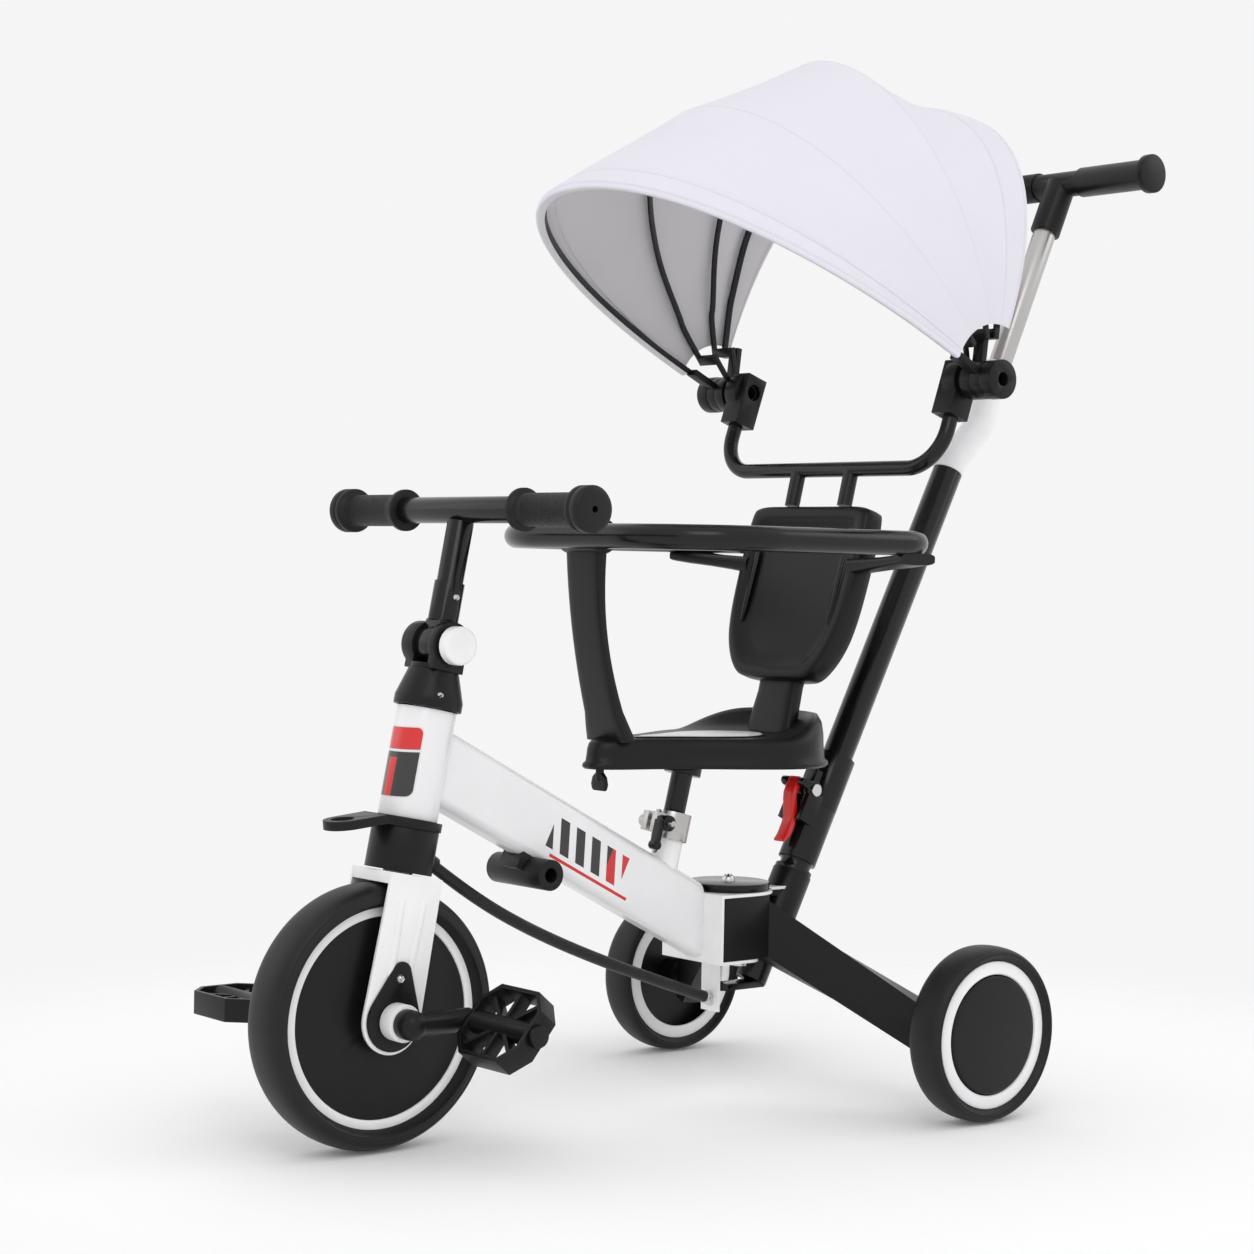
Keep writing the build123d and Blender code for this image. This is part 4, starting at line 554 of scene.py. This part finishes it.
flat = lambda z: (lambda x, y, u: z)
rings("seat_pad_border", [(0, flat(374)), (0, flat(376.9)), (2, flat(377.4)), (5, flat(377.4)),
                          (6, flat(376.2))], 96, inlay,
      MATERIAL["black_gloss"], "seat", SLOT_OF["saddle"])
rings("seat_pad_finished", [(5.4, flat(375)), (5.4, flat(377.2)), (6.6, flat(378)), (20, flat(378.4)),
                            (40, flat(378.6))], 96,
      inlay, MATERIAL["white_plastic"], "seat", SLOT_OF["seat_pad"], "seat_pad")
print("seat shell and inlay")

# %% [markdown]
# The backrest is a dished panel, broad at the shoulders and narrow at the waist. Its outline is softened by
# cutting corners again and again, then drawn in ring by ring from the back, over the rolled edge, to the dish.
# %% Backrest, neck and side arms
LEAN = radians(16.7)
PANEL = Place(Vector((0, AXLE.y / MM + 494, 434)) * MM, (0, sin(LEAN), cos(LEAN)))


def cut_corners(points, times=3):
    for _ in range(times):
        done = []
        for a, b in zip(points, points[1:] + points[:1]):
            done += [(a[0] * 0.75 + b[0] * 0.25, a[1] * 0.75 + b[1] * 0.25),
                     (a[0] * 0.25 + b[0] * 0.75, a[1] * 0.25 + b[1] * 0.75)]
        points = done
    return points


right_half = [(34, 0), (60, 4), (80, 34), (88, 70), (90, 120), (90, 182), (82, 191), (30, 191)]
outline = cut_corners(right_half + [(-x, z) for x, z in reversed(right_half)])


def panel_ring(inset, depth):
    return [PANEL.at(x * (1 - inset / 90), depth, 96 + (z - 96) * (1 - inset / 96)) for x, z in outline]


panel_levels = [(40, 30), (16, 30), (5, 28), (0.6, 23), (0, 16), (0.4, 4), (2.4, 0.6), (6, -0.8), (13, -0.6),
                (16, 1.4),
                (20, 4.2), (30, 5.4), (50, 6.2), (75, 6.4)]
verts = [v for inset, depth in panel_levels for v in panel_ring(inset, depth)]
count = len(outline)
faces = ring_faces(len(panel_levels), count, wrap_rows=False)
faces += [tuple(range(count)), tuple(range((len(panel_levels) - 1) * count, len(panel_levels) * count))]
piece("backrest_finished", verts, faces, MATERIAL["black_plastic"], "seat", SLOT_OF["backrest"], "backrest",
      sharp=50)


def tube(name, points, radius, material, body, slot, *nodes, sides=20, flat_by=1.0, up=(0, 0, 1),
         closed=False):
    """A closed tube or flattened bar along points in metres; radius in millimetres, one or one per point."""
    points = [Vector(p) for p in points]
    radii = radius if isinstance(radius, (list, tuple)) else [radius] * len(points)
    verts = []
    for i, p in enumerate(points):
        ahead = (points[min(i + 1, len(points) - 1)] - points[max(i - 1, 0)]).normalized()
        side = ahead.cross(Vector(up)).normalized()
        over = side.cross(ahead).normalized()
        for k in range(sides):
            a = 2 * pi * k / sides
            verts.append(p + (side * cos(a) * radii[i] + over * sin(a) * radii[i] * flat_by) * MM)
    faces = ring_faces(len(points), sides, wrap_rows=False)
    faces += [tuple(range(sides)), tuple(range((len(points) - 1) * sides, len(points) * sides))]
    return piece(name, verts, faces, material, body, slot, *nodes, sharp=40)


def slab(name, sections, material, body, slot, *nodes, corner=0.3, steps=5, sharp=45):
    """A moulded bar through sections of (centre, half width vector, half depth vector), with rounded corners."""
    verts, around = [], []
    for quarter in range(4):
        for k in range(steps):
            a = pi / 2 * (quarter + k / (steps - 1))
            cx = 1 - corner if quarter in (0, 3) else corner - 1
            cy = 1 - corner if quarter in (0, 1) else corner - 1
            around.append((cx + corner * cos(a), cy + corner * sin(a)))
    for centre, wide, deep in sections:
        verts += [Vector(centre) + Vector(wide) * u + Vector(deep) * v for u, v in around]
    n = len(around)
    faces = ring_faces(len(sections), n, wrap_rows=False)
    faces += [tuple(range(n)), tuple(range((len(sections) - 1) * n, len(sections) * n))]
    return piece(name, verts, faces, material, body, slot, *nodes, sharp=sharp)


rear_of_axle = lambda distance: AXLE.y + distance * MM
neck = [(0, 497, 374, 33), (0, 500, 386, 32), (0, 505, 402, 30), (0, 511, 422, 28), (0, 518, 446, 30),
        (0, 524, 468, 34)]
slab("backrest_neck", [(Vector((0, rear_of_axle(d), z * MM)), (w * MM, 0, 0), (0, 10 * MM, 2.5 * MM)) for _,
                       d, z, w in neck],
     MATERIAL["black_plastic"], "seat", SLOT_OF["backrest"], corner=0.5)
for side in (-1, 1):
    arm = [(76, 540, 552, 13, 9), (100, 538, 554, 14, 7.5), (130, 535, 556.5, 17, 6.5),
           (158, 532, 559, 21, 6.5),
           (178, 530, 561, 24, 6)]
    stations = [(Vector((x * side * MM, rear_of_axle(d), z * MM)), (0, w * MM, 0), (0, 0, t * MM)) for x, d,
                z, w, t in arm]
    slab(f"backrest_arm_{side}", stations, MATERIAL["black_plastic"], "seat", SLOT_OF["backrest"], corner=0.6)
    slot_line = [PANEL.at(side * 66, 1.2, 62 + 14 * k) for k in range(7)]
    tube(f"backrest_slot_{side}", slot_line, [1.5, 3.4, 3.6, 3.6, 3.6, 3.4, 1.5], MATERIAL["black_gloss"],
         "seat",
         SLOT_OF["backrest"], up=(0, 1, 0), sides=12, flat_by=0.5)
print("backrest")

# %% [markdown]
# A wide strap drops from the front of the guard ring to the nose of the seat and keeps the child from sliding
# forward. It is one soft moulding: a sleeve wrapped round the ring, a thinning blade, and a flared foot.
# %% Strap between ring and seat
RING_FRONT_Y, RING_HEIGHT = 233 + 12.5, 577
strap = []
for i in range(15):
    t = i / 14
    d = RING_FRONT_Y + 26 * t * t - 4 * sin(pi * t) + 10 * t
    z = RING_HEIGHT - 6 + (377 - RING_HEIGHT + 4) * t
    wide = 27 - 3 * sin(pi * t) + 6 * smooth(t, 0.85, 1)
    thick = 7.0 - 2.2 * sin(pi * t)
    strap.append((Vector((0, rear_of_axle(d), z * MM)), (wide * MM, 0, 0),
                  (0, thick * MM, thick * 0.25 * MM)))
slab("guard_strap_finished", strap, MATERIAL["black_fabric_strap"], "seat", SLOT_OF["guard_strap"],
     "guard_strap", corner=0.45)
sleeve = [(12.6, -28), (16.2, -28), (17.2, -26.8), (17.2, 26.8), (16.2, 28), (12.6, 28)]
lathe("guard_strap_sleeve", sleeve, (0, rear_of_axle(RING_FRONT_Y), RING_HEIGHT * MM), X_AXIS,
      MATERIAL["black_fabric_strap"], "seat",
      SLOT_OF["guard_strap"], turns=48)
print("strap")

# %% [markdown]
# The handlebar grips are slipped-on rubber: a stop at each end, a barrel with rows of tiny dots, and a small
# hole in the outer end. The dots are raised in the shader, counted along the bar and around it.
# %% Grips
BAR = HEAD.moved(0, 0, (BARREL - AXLE).dot(HEAD.up) / MM + 130.5)


def dotted_grip():
    f = Finish("grip_dots", (0.005, 0.005, 0.0055), 0.5, Specular_IOR_Level=0.3)
    x, y, z = f.parts(f.place())
    turn = f.node("ShaderNodeMath", {"operation": "ARCTAN2"}, {0: y - BAR.origin.y, 1: z - BAR.origin.z})
    row = f.node("ShaderNodeMath", {"operation": "SINE"}, {0: x * 2400})
    ring = f.node("ShaderNodeMath", {"operation": "SINE"}, {0: turn * 44})
    on_barrel = (abs(abs(x) - 0.142) < 0.033)
    dots = row * ring * on_barrel
    cloud = f.noise(30, 4)
    f.paint(f.blend(cloud, (0.004, 0.004, 0.0045, 1), (0.009, 0.009, 0.0095, 1)), 0.38 + cloud * 0.2, dots,
            0.0006, 0.9)
    return f.material


MATERIAL["grip_dots"] = dotted_grip()
grip = [(12.72, 92), (19.2, 92), (20.4, 93), (20.4, 97.2), (19.4, 98.4), (16.4, 99.4), (15.6, 101),
        (15.6, 178), (16.6, 180),
        (20.6, 181), (21.8, 182.2), (21.8, 186.2), (20.8, 187.4), (20.8, 188.4), (21.8, 189.6), (21.8,
                                                                                                 196.6),
                                                                                                 (20.2, 199),
        (17, 200), (3.2, 200), (3.2, 196), (12.72, 196)]
for side in (-1, 1):
    lathe(f"grip_{side}", grip, BAR.origin, X_AXIS * side, MATERIAL["grip_dots"], "handlebar",
          SLOT_OF["handlebar_grips"],
          "handlebar_grips", turns=72, sharp=50)
print("grips", BAR.origin[:])

# %% [markdown]
# The canopy is four hoops hinged at one hub on each side, with one cloth sewn over them. The cloth is cut in
# three panels that sink a little between hoops. Each panel is a grid: across it the angle about the hub, along
# it the curve of the hoop. Its front edge turns in over the first hoop as a hem; its back hangs on as a flap.
# %% Canopy cloth
HOOPS = {"front": (25.1, 419.5, 2.14), "second": (51.0, 350.0, 1.95), "third": (79.7, 345.0, 1.85),
         "rear": (97.0, 303.0, 2.6)}
FLAP = (110.0, 320.0, 2.3)
CLOTH_HALF, CLOTH_START, CLOTH_DIP = 212.0, 56.0, 13.0


def cloth_point(angle, reach, power, along, push_forward=0.0, inset=0.0):
    a = radians(angle)
    out, normal = Vector((0, -cos(a), sin(a))), Vector((0, -sin(a), -cos(a)))
    t = pi * along
    x = (CLOTH_HALF - inset) * (1 if t < pi / 2 else -1) * abs(cos(t)) ** (2 / power)
    r = CLOTH_START + (reach - inset - CLOTH_START) * sin(min(t, pi - t) if t <= pi else 0) ** (2 / power)
    return HUB + (X_AXIS * x + out * r + normal * push_forward) * MM


def between(first, second, f, dip=CLOTH_DIP):
    angle, reach, power = (a + (b - a) * f for a, b in zip(first, second))
    return angle, reach - dip * 4 * f * (1 - f), power


def even_steps(count):
    # closer together at the sides, where the hoop bends most
    return [0.5 - 0.5 * cos(pi * i / count) * (0.62 + 0.38 * abs(cos(pi * i / count))) for i in range(count + 1)]


ALONG = even_steps(72)


def panel(name, rows, node, thick=1.2):
    """rows are (weight, angle, reach, power, forward, inset, seam)."""
    n, verts, uvs, weights, seams = len(ALONG), [], [], [], []
    for face_in in (0.0, thick):
        across = 0.0
        for i, (weight, angle, reach, power, forward, inset, seam) in enumerate(rows):
            if i:
                last = rows[i - 1]
                across += (cloth_point(last[1], last[2], last[3], 0.5, last[4], last[5])
                           - cloth_point(angle, reach, power, 0.5, forward, inset)).length
            for k, along in enumerate(ALONG):
                verts.append(cloth_point(angle, reach, power, along, forward, inset + face_in))
                uvs.append((along * 1.05, across))
                weights.append(weight)
                seams.append(seam)
    m = len(rows) * n
    top = ring_faces(len(rows), n, wrap_rows=False, wrap_columns=False)
    faces = [(f, 0) for f in top] + [(tuple(reversed([v + m for v in f])), 1) for f in top]
    border = [k for k in range(n)] + [i * n + n - 1 for i in range(1, len(rows))]
    border += [(len(rows) - 1) * n + k for k in range(n - 2, -1, -1)] + [i * n for i in range(len(rows) - 2,
                                                                                              0, -1)]
    for a, b in zip(border, border[1:] + border[:1]):
        faces.append(((b, a, a + m, b + m), 0))
    mesh = bpy.data.meshes.new(name)
    mesh.from_pydata([v[:] for v in verts], [], [f for f, _ in faces])
    mesh.materials.append(MATERIAL["cloth"])
    mesh.materials.append(MATERIAL["lining"])
    mesh.polygons.foreach_set("material_index", [which for _, which in faces])
    uv = mesh.uv_layers.new(name="weave")
    for loop in mesh.loops:
        uv.data[loop.index].uv = uvs[loop.vertex_index]
    mesh.attributes.new("seam", "FLOAT", "POINT").data.foreach_set("value", seams)
    obj = bpy.data.objects.new(name, mesh)
    bpy.context.collection.objects.link(obj)
    shape = bmesh.new()
    shape.from_mesh(mesh)
    bmesh.ops.recalc_face_normals(shape, faces=shape.faces)
    shape.to_mesh(mesh)
    shape.free()
    settle(obj, MATERIAL["cloth"], None, "canopy_fabric", node, sharp=50)
    cloth_point(*rows[0][1:4], 0.5)
    cloth_point(*rows[-1][1:4], 0.5)
    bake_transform(obj)
    wide = sum((cloth_point(*rows[0][1:4], b) - cloth_point(*rows[0][1:4], a)).length for a,
               b in zip(ALONG, ALONG[1:]))
    area = sum(p.area for p in mesh.polygons) / 2
    print(name, "hoop length", round(wide, 3), "area", round(area, 4), "across", round(uvs[m - 1][1], 3))
    return obj, wide, uvs[m - 1][1], area


def panel_rows(first, second, steps=10, lead=(), tail=(), hems=()):
    rows = list(lead)
    fractions = [0.0, 0.008, 0.02] + [i / steps for i in range(1, steps)] + [0.98, 0.992, 1.0]
    for f in sorted(fractions + list(hems)):
        seam = max(0.0, 1 - min(f, 1 - f) * 90)
        stitched = 1.0 if f in hems[1:2] else 0.0
        rows.append((f, *between(HOOPS[first], HOOPS[second], f), 0.0, 0.8 * stitched,
                     max(seam, 0.8 * stitched)))
    return rows + list(tail)


front_hoop = HOOPS["front"]
hem = [(0.0, *front_hoop, 3.6, 8.5, 0.3), (0.0, *front_hoop, 5.2, 5.0, 0.3),
       (0.0, *front_hoop, 5.8, 1.6, 0.3),
       (0.0, *front_hoop, 4.6, 0.2, 0.3), (0.0, *front_hoop, 3.6, 0.0, 0.0)]
flap = [(1.0, *(a + (b - a) * f for a, b in zip(HOOPS["rear"], FLAP)), 0.0, 0.0,
         1.0 if 0.86 < f < 0.95 else 0.0)
        for f in (0.1, 0.25, 0.4, 0.55, 0.7, 0.82, 0.9, 0.97, 1.0)]
fabric = {
    "front": panel("cloth_front", panel_rows("front", "second", 10, lead=hem, hems=(0.118, 0.126, 0.134)),
                   "canopy_front_panel"),
    "middle": panel("cloth_middle", panel_rows("second", "third", 12),
                    "canopy_middle_panel"),
    "rear": panel("cloth_rear", panel_rows("third", "rear", 10, tail=flap),
                  "canopy_rear_panel"),
}
for cloth_obj, wide, deep, area in fabric.values():
    long_side = max(deep, area / wide * 1.02)

# %% [markdown]
# The steering cable runs in a ribbed black hose, from the collar on the head tube down behind the fork to the
# lever under the housing. Its centre line is a NURBS curve, pulled smoothly towards the same route points.
# %% Steering hose
route = [(-355.63, 265.39), (-310.71, 234), (-249.71, 200), (-175.71, 167.5), (-85.71, 134), (12.29, 101)]
curve = bpy.data.curves.new("steering_hose_finished", "CURVE")
curve.dimensions, curve.bevel_depth, curve.bevel_resolution = "3D", 0.006, 5
curve.resolution_u, curve.render_resolution_u = 14, 14
curve.use_fill_caps = True
line = curve.splines.new("NURBS")
line.points.add(len(route) - 1)
for spot, (y, z) in zip(line.points, route):
    spot.co = (0, y * MM, z * MM, 1)
line.order_u = 3
line.use_endpoint_u = True
curve.materials.append(MATERIAL["hose_black"])
hose = bpy.data.objects.new("steering_hose_finished", curve)
bpy.context.collection.objects.link(hose)
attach(hose, "frame")
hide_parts("steering_hose")
last, before = Vector((0, route[-1][0], route[-1][1])), Vector((0, route[-2][0], route[-2][1]))
along_end = (last - before).normalized()
ferrule = [(5.9, -16), (7.2, -15.2), (7.2, -12), (6.6, -11.4), (6.6, -9), (7.2, -8.4), (7.2, -1), (6.4, 0),
           (5.9, 0)]
crimp = lathe("hose_ferrule", ferrule, last * MM, along_end, MATERIAL["steel"], "frame", "steel", turns=40)
print("hose and its crimped end")

# %% [markdown]
# The fold joint of the push handle is held by a red lever that a thumb pulls. It is a flat bent strip: it leaves
# its pin, steps in towards the tube and ends in a small lip. The wing screw under the nose of the seat clamps
# the strap, so it is turned by hand and has two flat ears.
# %% Red latch lever and wing screw
LATCH = Place(JOINT["latch_release"]["pos_m"], PUSH.up)
bend = [(0.0, 4.6, 2.2), (0.0, 1.5, 4.2), (-0.4, -6.0, 4.2), (-0.2, -14.0, 3.9), (2.6, -20.5, 3.8),
        (7.4, -28.5, 3.8),
        (11.6, -36.0, 3.8), (12.9, -44.0, 3.7), (12.9, -52.0, 3.6), (12.4, -58.0, 3.2), (10.8, -62.5,
                                                                                         2.4),
                                                                                         (9.2, -65.0, 1.4)]
sections = []
for i, (y, z, half) in enumerate(bend):
    y0, z0, _ = bend[max(i - 1, 0)]
    y1, z1, _ = bend[min(i + 1, len(bend) - 1)]
    run = Vector((0, y1 - y0, z1 - z0)).normalized()
    across = LATCH.rear * -run.z + LATCH.up * run.y
    sections.append((LATCH.at(0, y, z), LATCH.side * 7.6 * MM, across * half * MM))
slab("push_latch_finished", sections, MATERIAL["red_plastic"], "push_latch", SLOT_OF["push_latch"],
     "push_latch", corner=0.35)
screw_foot = [Vector((0, rear_of_axle(268), z * MM)) for z in (349, 345, 338, 334)]
tube("strap_screw", screw_foot, [4.2, 4.2, 4.2, 3.4], MATERIAL["black_plastic"], "seat", "black_plastic",
     up=(0, 1, 0))
ears = [(342, 5, 3.0), (338, 10, 2.4), (331, 12.5, 1.8), (326, 11, 1.6), (324.5, 9, 1.0)]
slab("strap_screw_ears", [(Vector((0, rear_of_axle(268), z * MM)), (w * MM, 0, 0), (0, t * MM, 0)) for z, w,
                          t in ears],
     MATERIAL["black_plastic"], "seat", "black_plastic", corner=0.5)
print("latch lever and wing screw")

# %% [markdown]
# Two pressed ribs stiffen each fork blade and leave a shallow channel between them. The stem carries a snap
# button where it is cut for shipping. The ribs are small closed mouldings laid on the engineered fork.
# %% Fork ribs
for side in (-1, 1):
    for where in (-10.5, 10.5):
        stations = [(s, where * (1 + (s - 60) / 260), 1.0 if 0 < i < 7 else 0.25) for i, s in
                    enumerate((26, 32, 46, 62, 78, 94, 108, 114))]
        points = [HEAD.at(side * 32.9, y, s) for s, y, _ in stations]
        tube(f"fork_rib_{side}_{where}", points, [3.6 * w for _, _, w in stations], MATERIAL["white_paint"],
             "fork",
             SLOT_OF["fork"], up=X_AXIS, sides=16, flat_by=0.55)


# %% [markdown]
# Screws repeat all over the trike, always the same pan head with a cross recess. Geometry Nodes sets one
# head on each point of a list, turned along that point's own direction, then makes the copies real.
# %% Screws by Geometry Nodes
def screw_head():
    ring = [(0.0, 1.0), (0.36, 0.95), (0.72, 0.74), (0.94, 0.38), (1.0, 0.05), (1.0, -0.35)]
    verts, n = [Vector((0, 0, 0.62))], 24
    for r, z in ring[1:]:
        for k in range(n):
            a = 2 * pi * k / n
            cross = r < 0.8 and abs(sin(2 * a)) < 0.55
            verts.append(Vector((r * cos(a), r * sin(a), z - (0.3 if cross and r < 0.5 else 0.0))))
    faces = [(0, 1 + k, 1 + (k + 1) % n) for k in range(n)]
    for i in range(len(ring) - 2):
        near, far = 1 + i * n, 1 + (i + 1) * n
        faces += [(near + k, far + k, far + (k + 1) % n, near + (k + 1) % n) for k in range(n)]
    faces.append(tuple(1 + (len(ring) - 2) * n + k for k in range(n)))
    mesh = bpy.data.meshes.new("screw_head")
    mesh.from_pydata([v[:] for v in verts], [], faces)
    shape = bmesh.new()
    shape.from_mesh(mesh)
    bmesh.ops.recalc_face_normals(shape, faces=shape.faces)
    shape.to_mesh(mesh)
    shape.free()
    return bpy.data.objects.new("screw_head", mesh)


def screw_tree(head):
    tree = bpy.data.node_groups.new("screws", "GeometryNodeTree")
    tree.interface.new_socket("Geometry", in_out="INPUT", socket_type="NodeSocketGeometry")
    size = tree.interface.new_socket("Radius", in_out="INPUT", socket_type="NodeSocketFloat")
    tree.interface.new_socket("Geometry", in_out="OUTPUT", socket_type="NodeSocketGeometry")
    make = tree.nodes.new
    start, end = make("NodeGroupInput"), make("NodeGroupOutput")
    place, info = make("GeometryNodeInstanceOnPoints"), make("GeometryNodeObjectInfo")
    facing, turn = make("GeometryNodeInputNamedAttribute"), make("FunctionNodeAlignRotationToVector")
    real, finish = make("GeometryNodeRealizeInstances"), make("GeometryNodeSetMaterial")
    facing.data_type = "FLOAT_VECTOR"
    facing.inputs["Name"].default_value = "facing"
    turn.axis = "Z"
    info.inputs["Object"].default_value = head
    finish.inputs["Material"].default_value = MATERIAL["steel"]
    link = tree.links.new
    link(start.outputs["Geometry"], place.inputs["Points"])
    link(info.outputs["Geometry"], place.inputs["Instance"])
    link(facing.outputs["Attribute"], turn.inputs["Vector"])
    link(turn.outputs["Rotation"], place.inputs["Rotation"])
    link(start.outputs["Radius"], place.inputs["Scale"])
    link(place.outputs["Instances"], real.inputs["Geometry"])
    link(real.outputs["Geometry"], finish.inputs["Geometry"])
    link(finish.outputs["Geometry"], end.inputs["Geometry"])
    return tree, size.identifier


HEAD_MESH = screw_head()
SCREWS, RADIUS_SOCKET = screw_tree(HEAD_MESH)


def screws(name, body, radius, *spots):
    mesh = bpy.data.meshes.new(name)
    mesh.from_pydata([Vector(p)[:] for p, _ in spots], [], [])
    turned = [part for _, direction in spots for part in Vector(direction).normalized()]
    mesh.attributes.new("facing", "FLOAT_VECTOR", "POINT").data.foreach_set("vector", turned)
    obj = bpy.data.objects.new(name, mesh)
    bpy.context.collection.objects.link(obj)
    modifier = obj.modifiers.new("screws", "NODES")
    modifier.node_group = SCREWS
    modifier[RADIUS_SOCKET] = radius * MM
    real = bpy.data.meshes.new_from_object(obj.evaluated_get(bpy.context.evaluated_depsgraph_get()))
    obj.modifiers.clear()
    obj.data = real
    return settle(obj, MATERIAL["steel"], body, "steel", sharp=50)


sideways = lambda side: (side, 0, 0)
screws("cover_screws", "fork", 4.2, *[(AXLE + Vector((side * 0.0369, 0.0055, 0.0385)),
                                       sideways(side)) for side in (-1, 1)])
screws("headset_screw", "fork", 4.0, (HEAD.at(27.5, -8, 303), (1, -0.3, 0)))
screws("sleeve_screw", "handlebar", 3.4, (HEAD.at(14.2, 0, (BARREL - AXLE).dot(HEAD.up) / MM + 46),
                                          (1, 0, 0)))
screws("hinge_dome", "frame", 7.0, (Vector((0, rear_of_axle(443), 0.2245)), (0, 0, 1)))
print("screws placed")

# %% [markdown]
# The floor is a wide disc, the same pale tone as the sky, that fades out towards its rim so no horizon shows.
# It only catches the soft shadow under the wheels.
# %% Floor
def fading_floor():
    f = Finish("floor", (0.97, 0.97, 0.97), 0.9, Emission_Strength=0.045, Emission_Color=(1, 1, 1, 1))
    x, y, z = f.parts(f.place())
    far = f.node("ShaderNodeMath", {"operation": "SQRT"}, {0: x * x + y * y})
    limits = {"Value": far, "From Min": 0.55, "From Max": 1.2, "To Min": 1.0, "To Max": 0.0}
    fade = f.node("ShaderNodeMapRange", {"interpolation_type": "SMOOTHSTEP"}, limits)
    f.tree.links.new(fade.socket, f.shader.inputs["Alpha"])
    cloud = f.noise(3, 2)
    f.paint(f.blend(cloud, (0.965, 0.965, 0.965, 1), (0.975, 0.975, 0.975, 1)))
    return f.material


ground = bpy.data.meshes.new("floor")
rim = [(1.3 * cos(2 * pi * k / 96), 1.3 * sin(2 * pi * k / 96), -0.0005) for k in range(96)]
ground.from_pydata(rim, [], [tuple(range(96))])
ground.materials.append(fading_floor())
floor = bpy.data.objects.new("floor", ground)
bpy.context.collection.objects.link(floor)
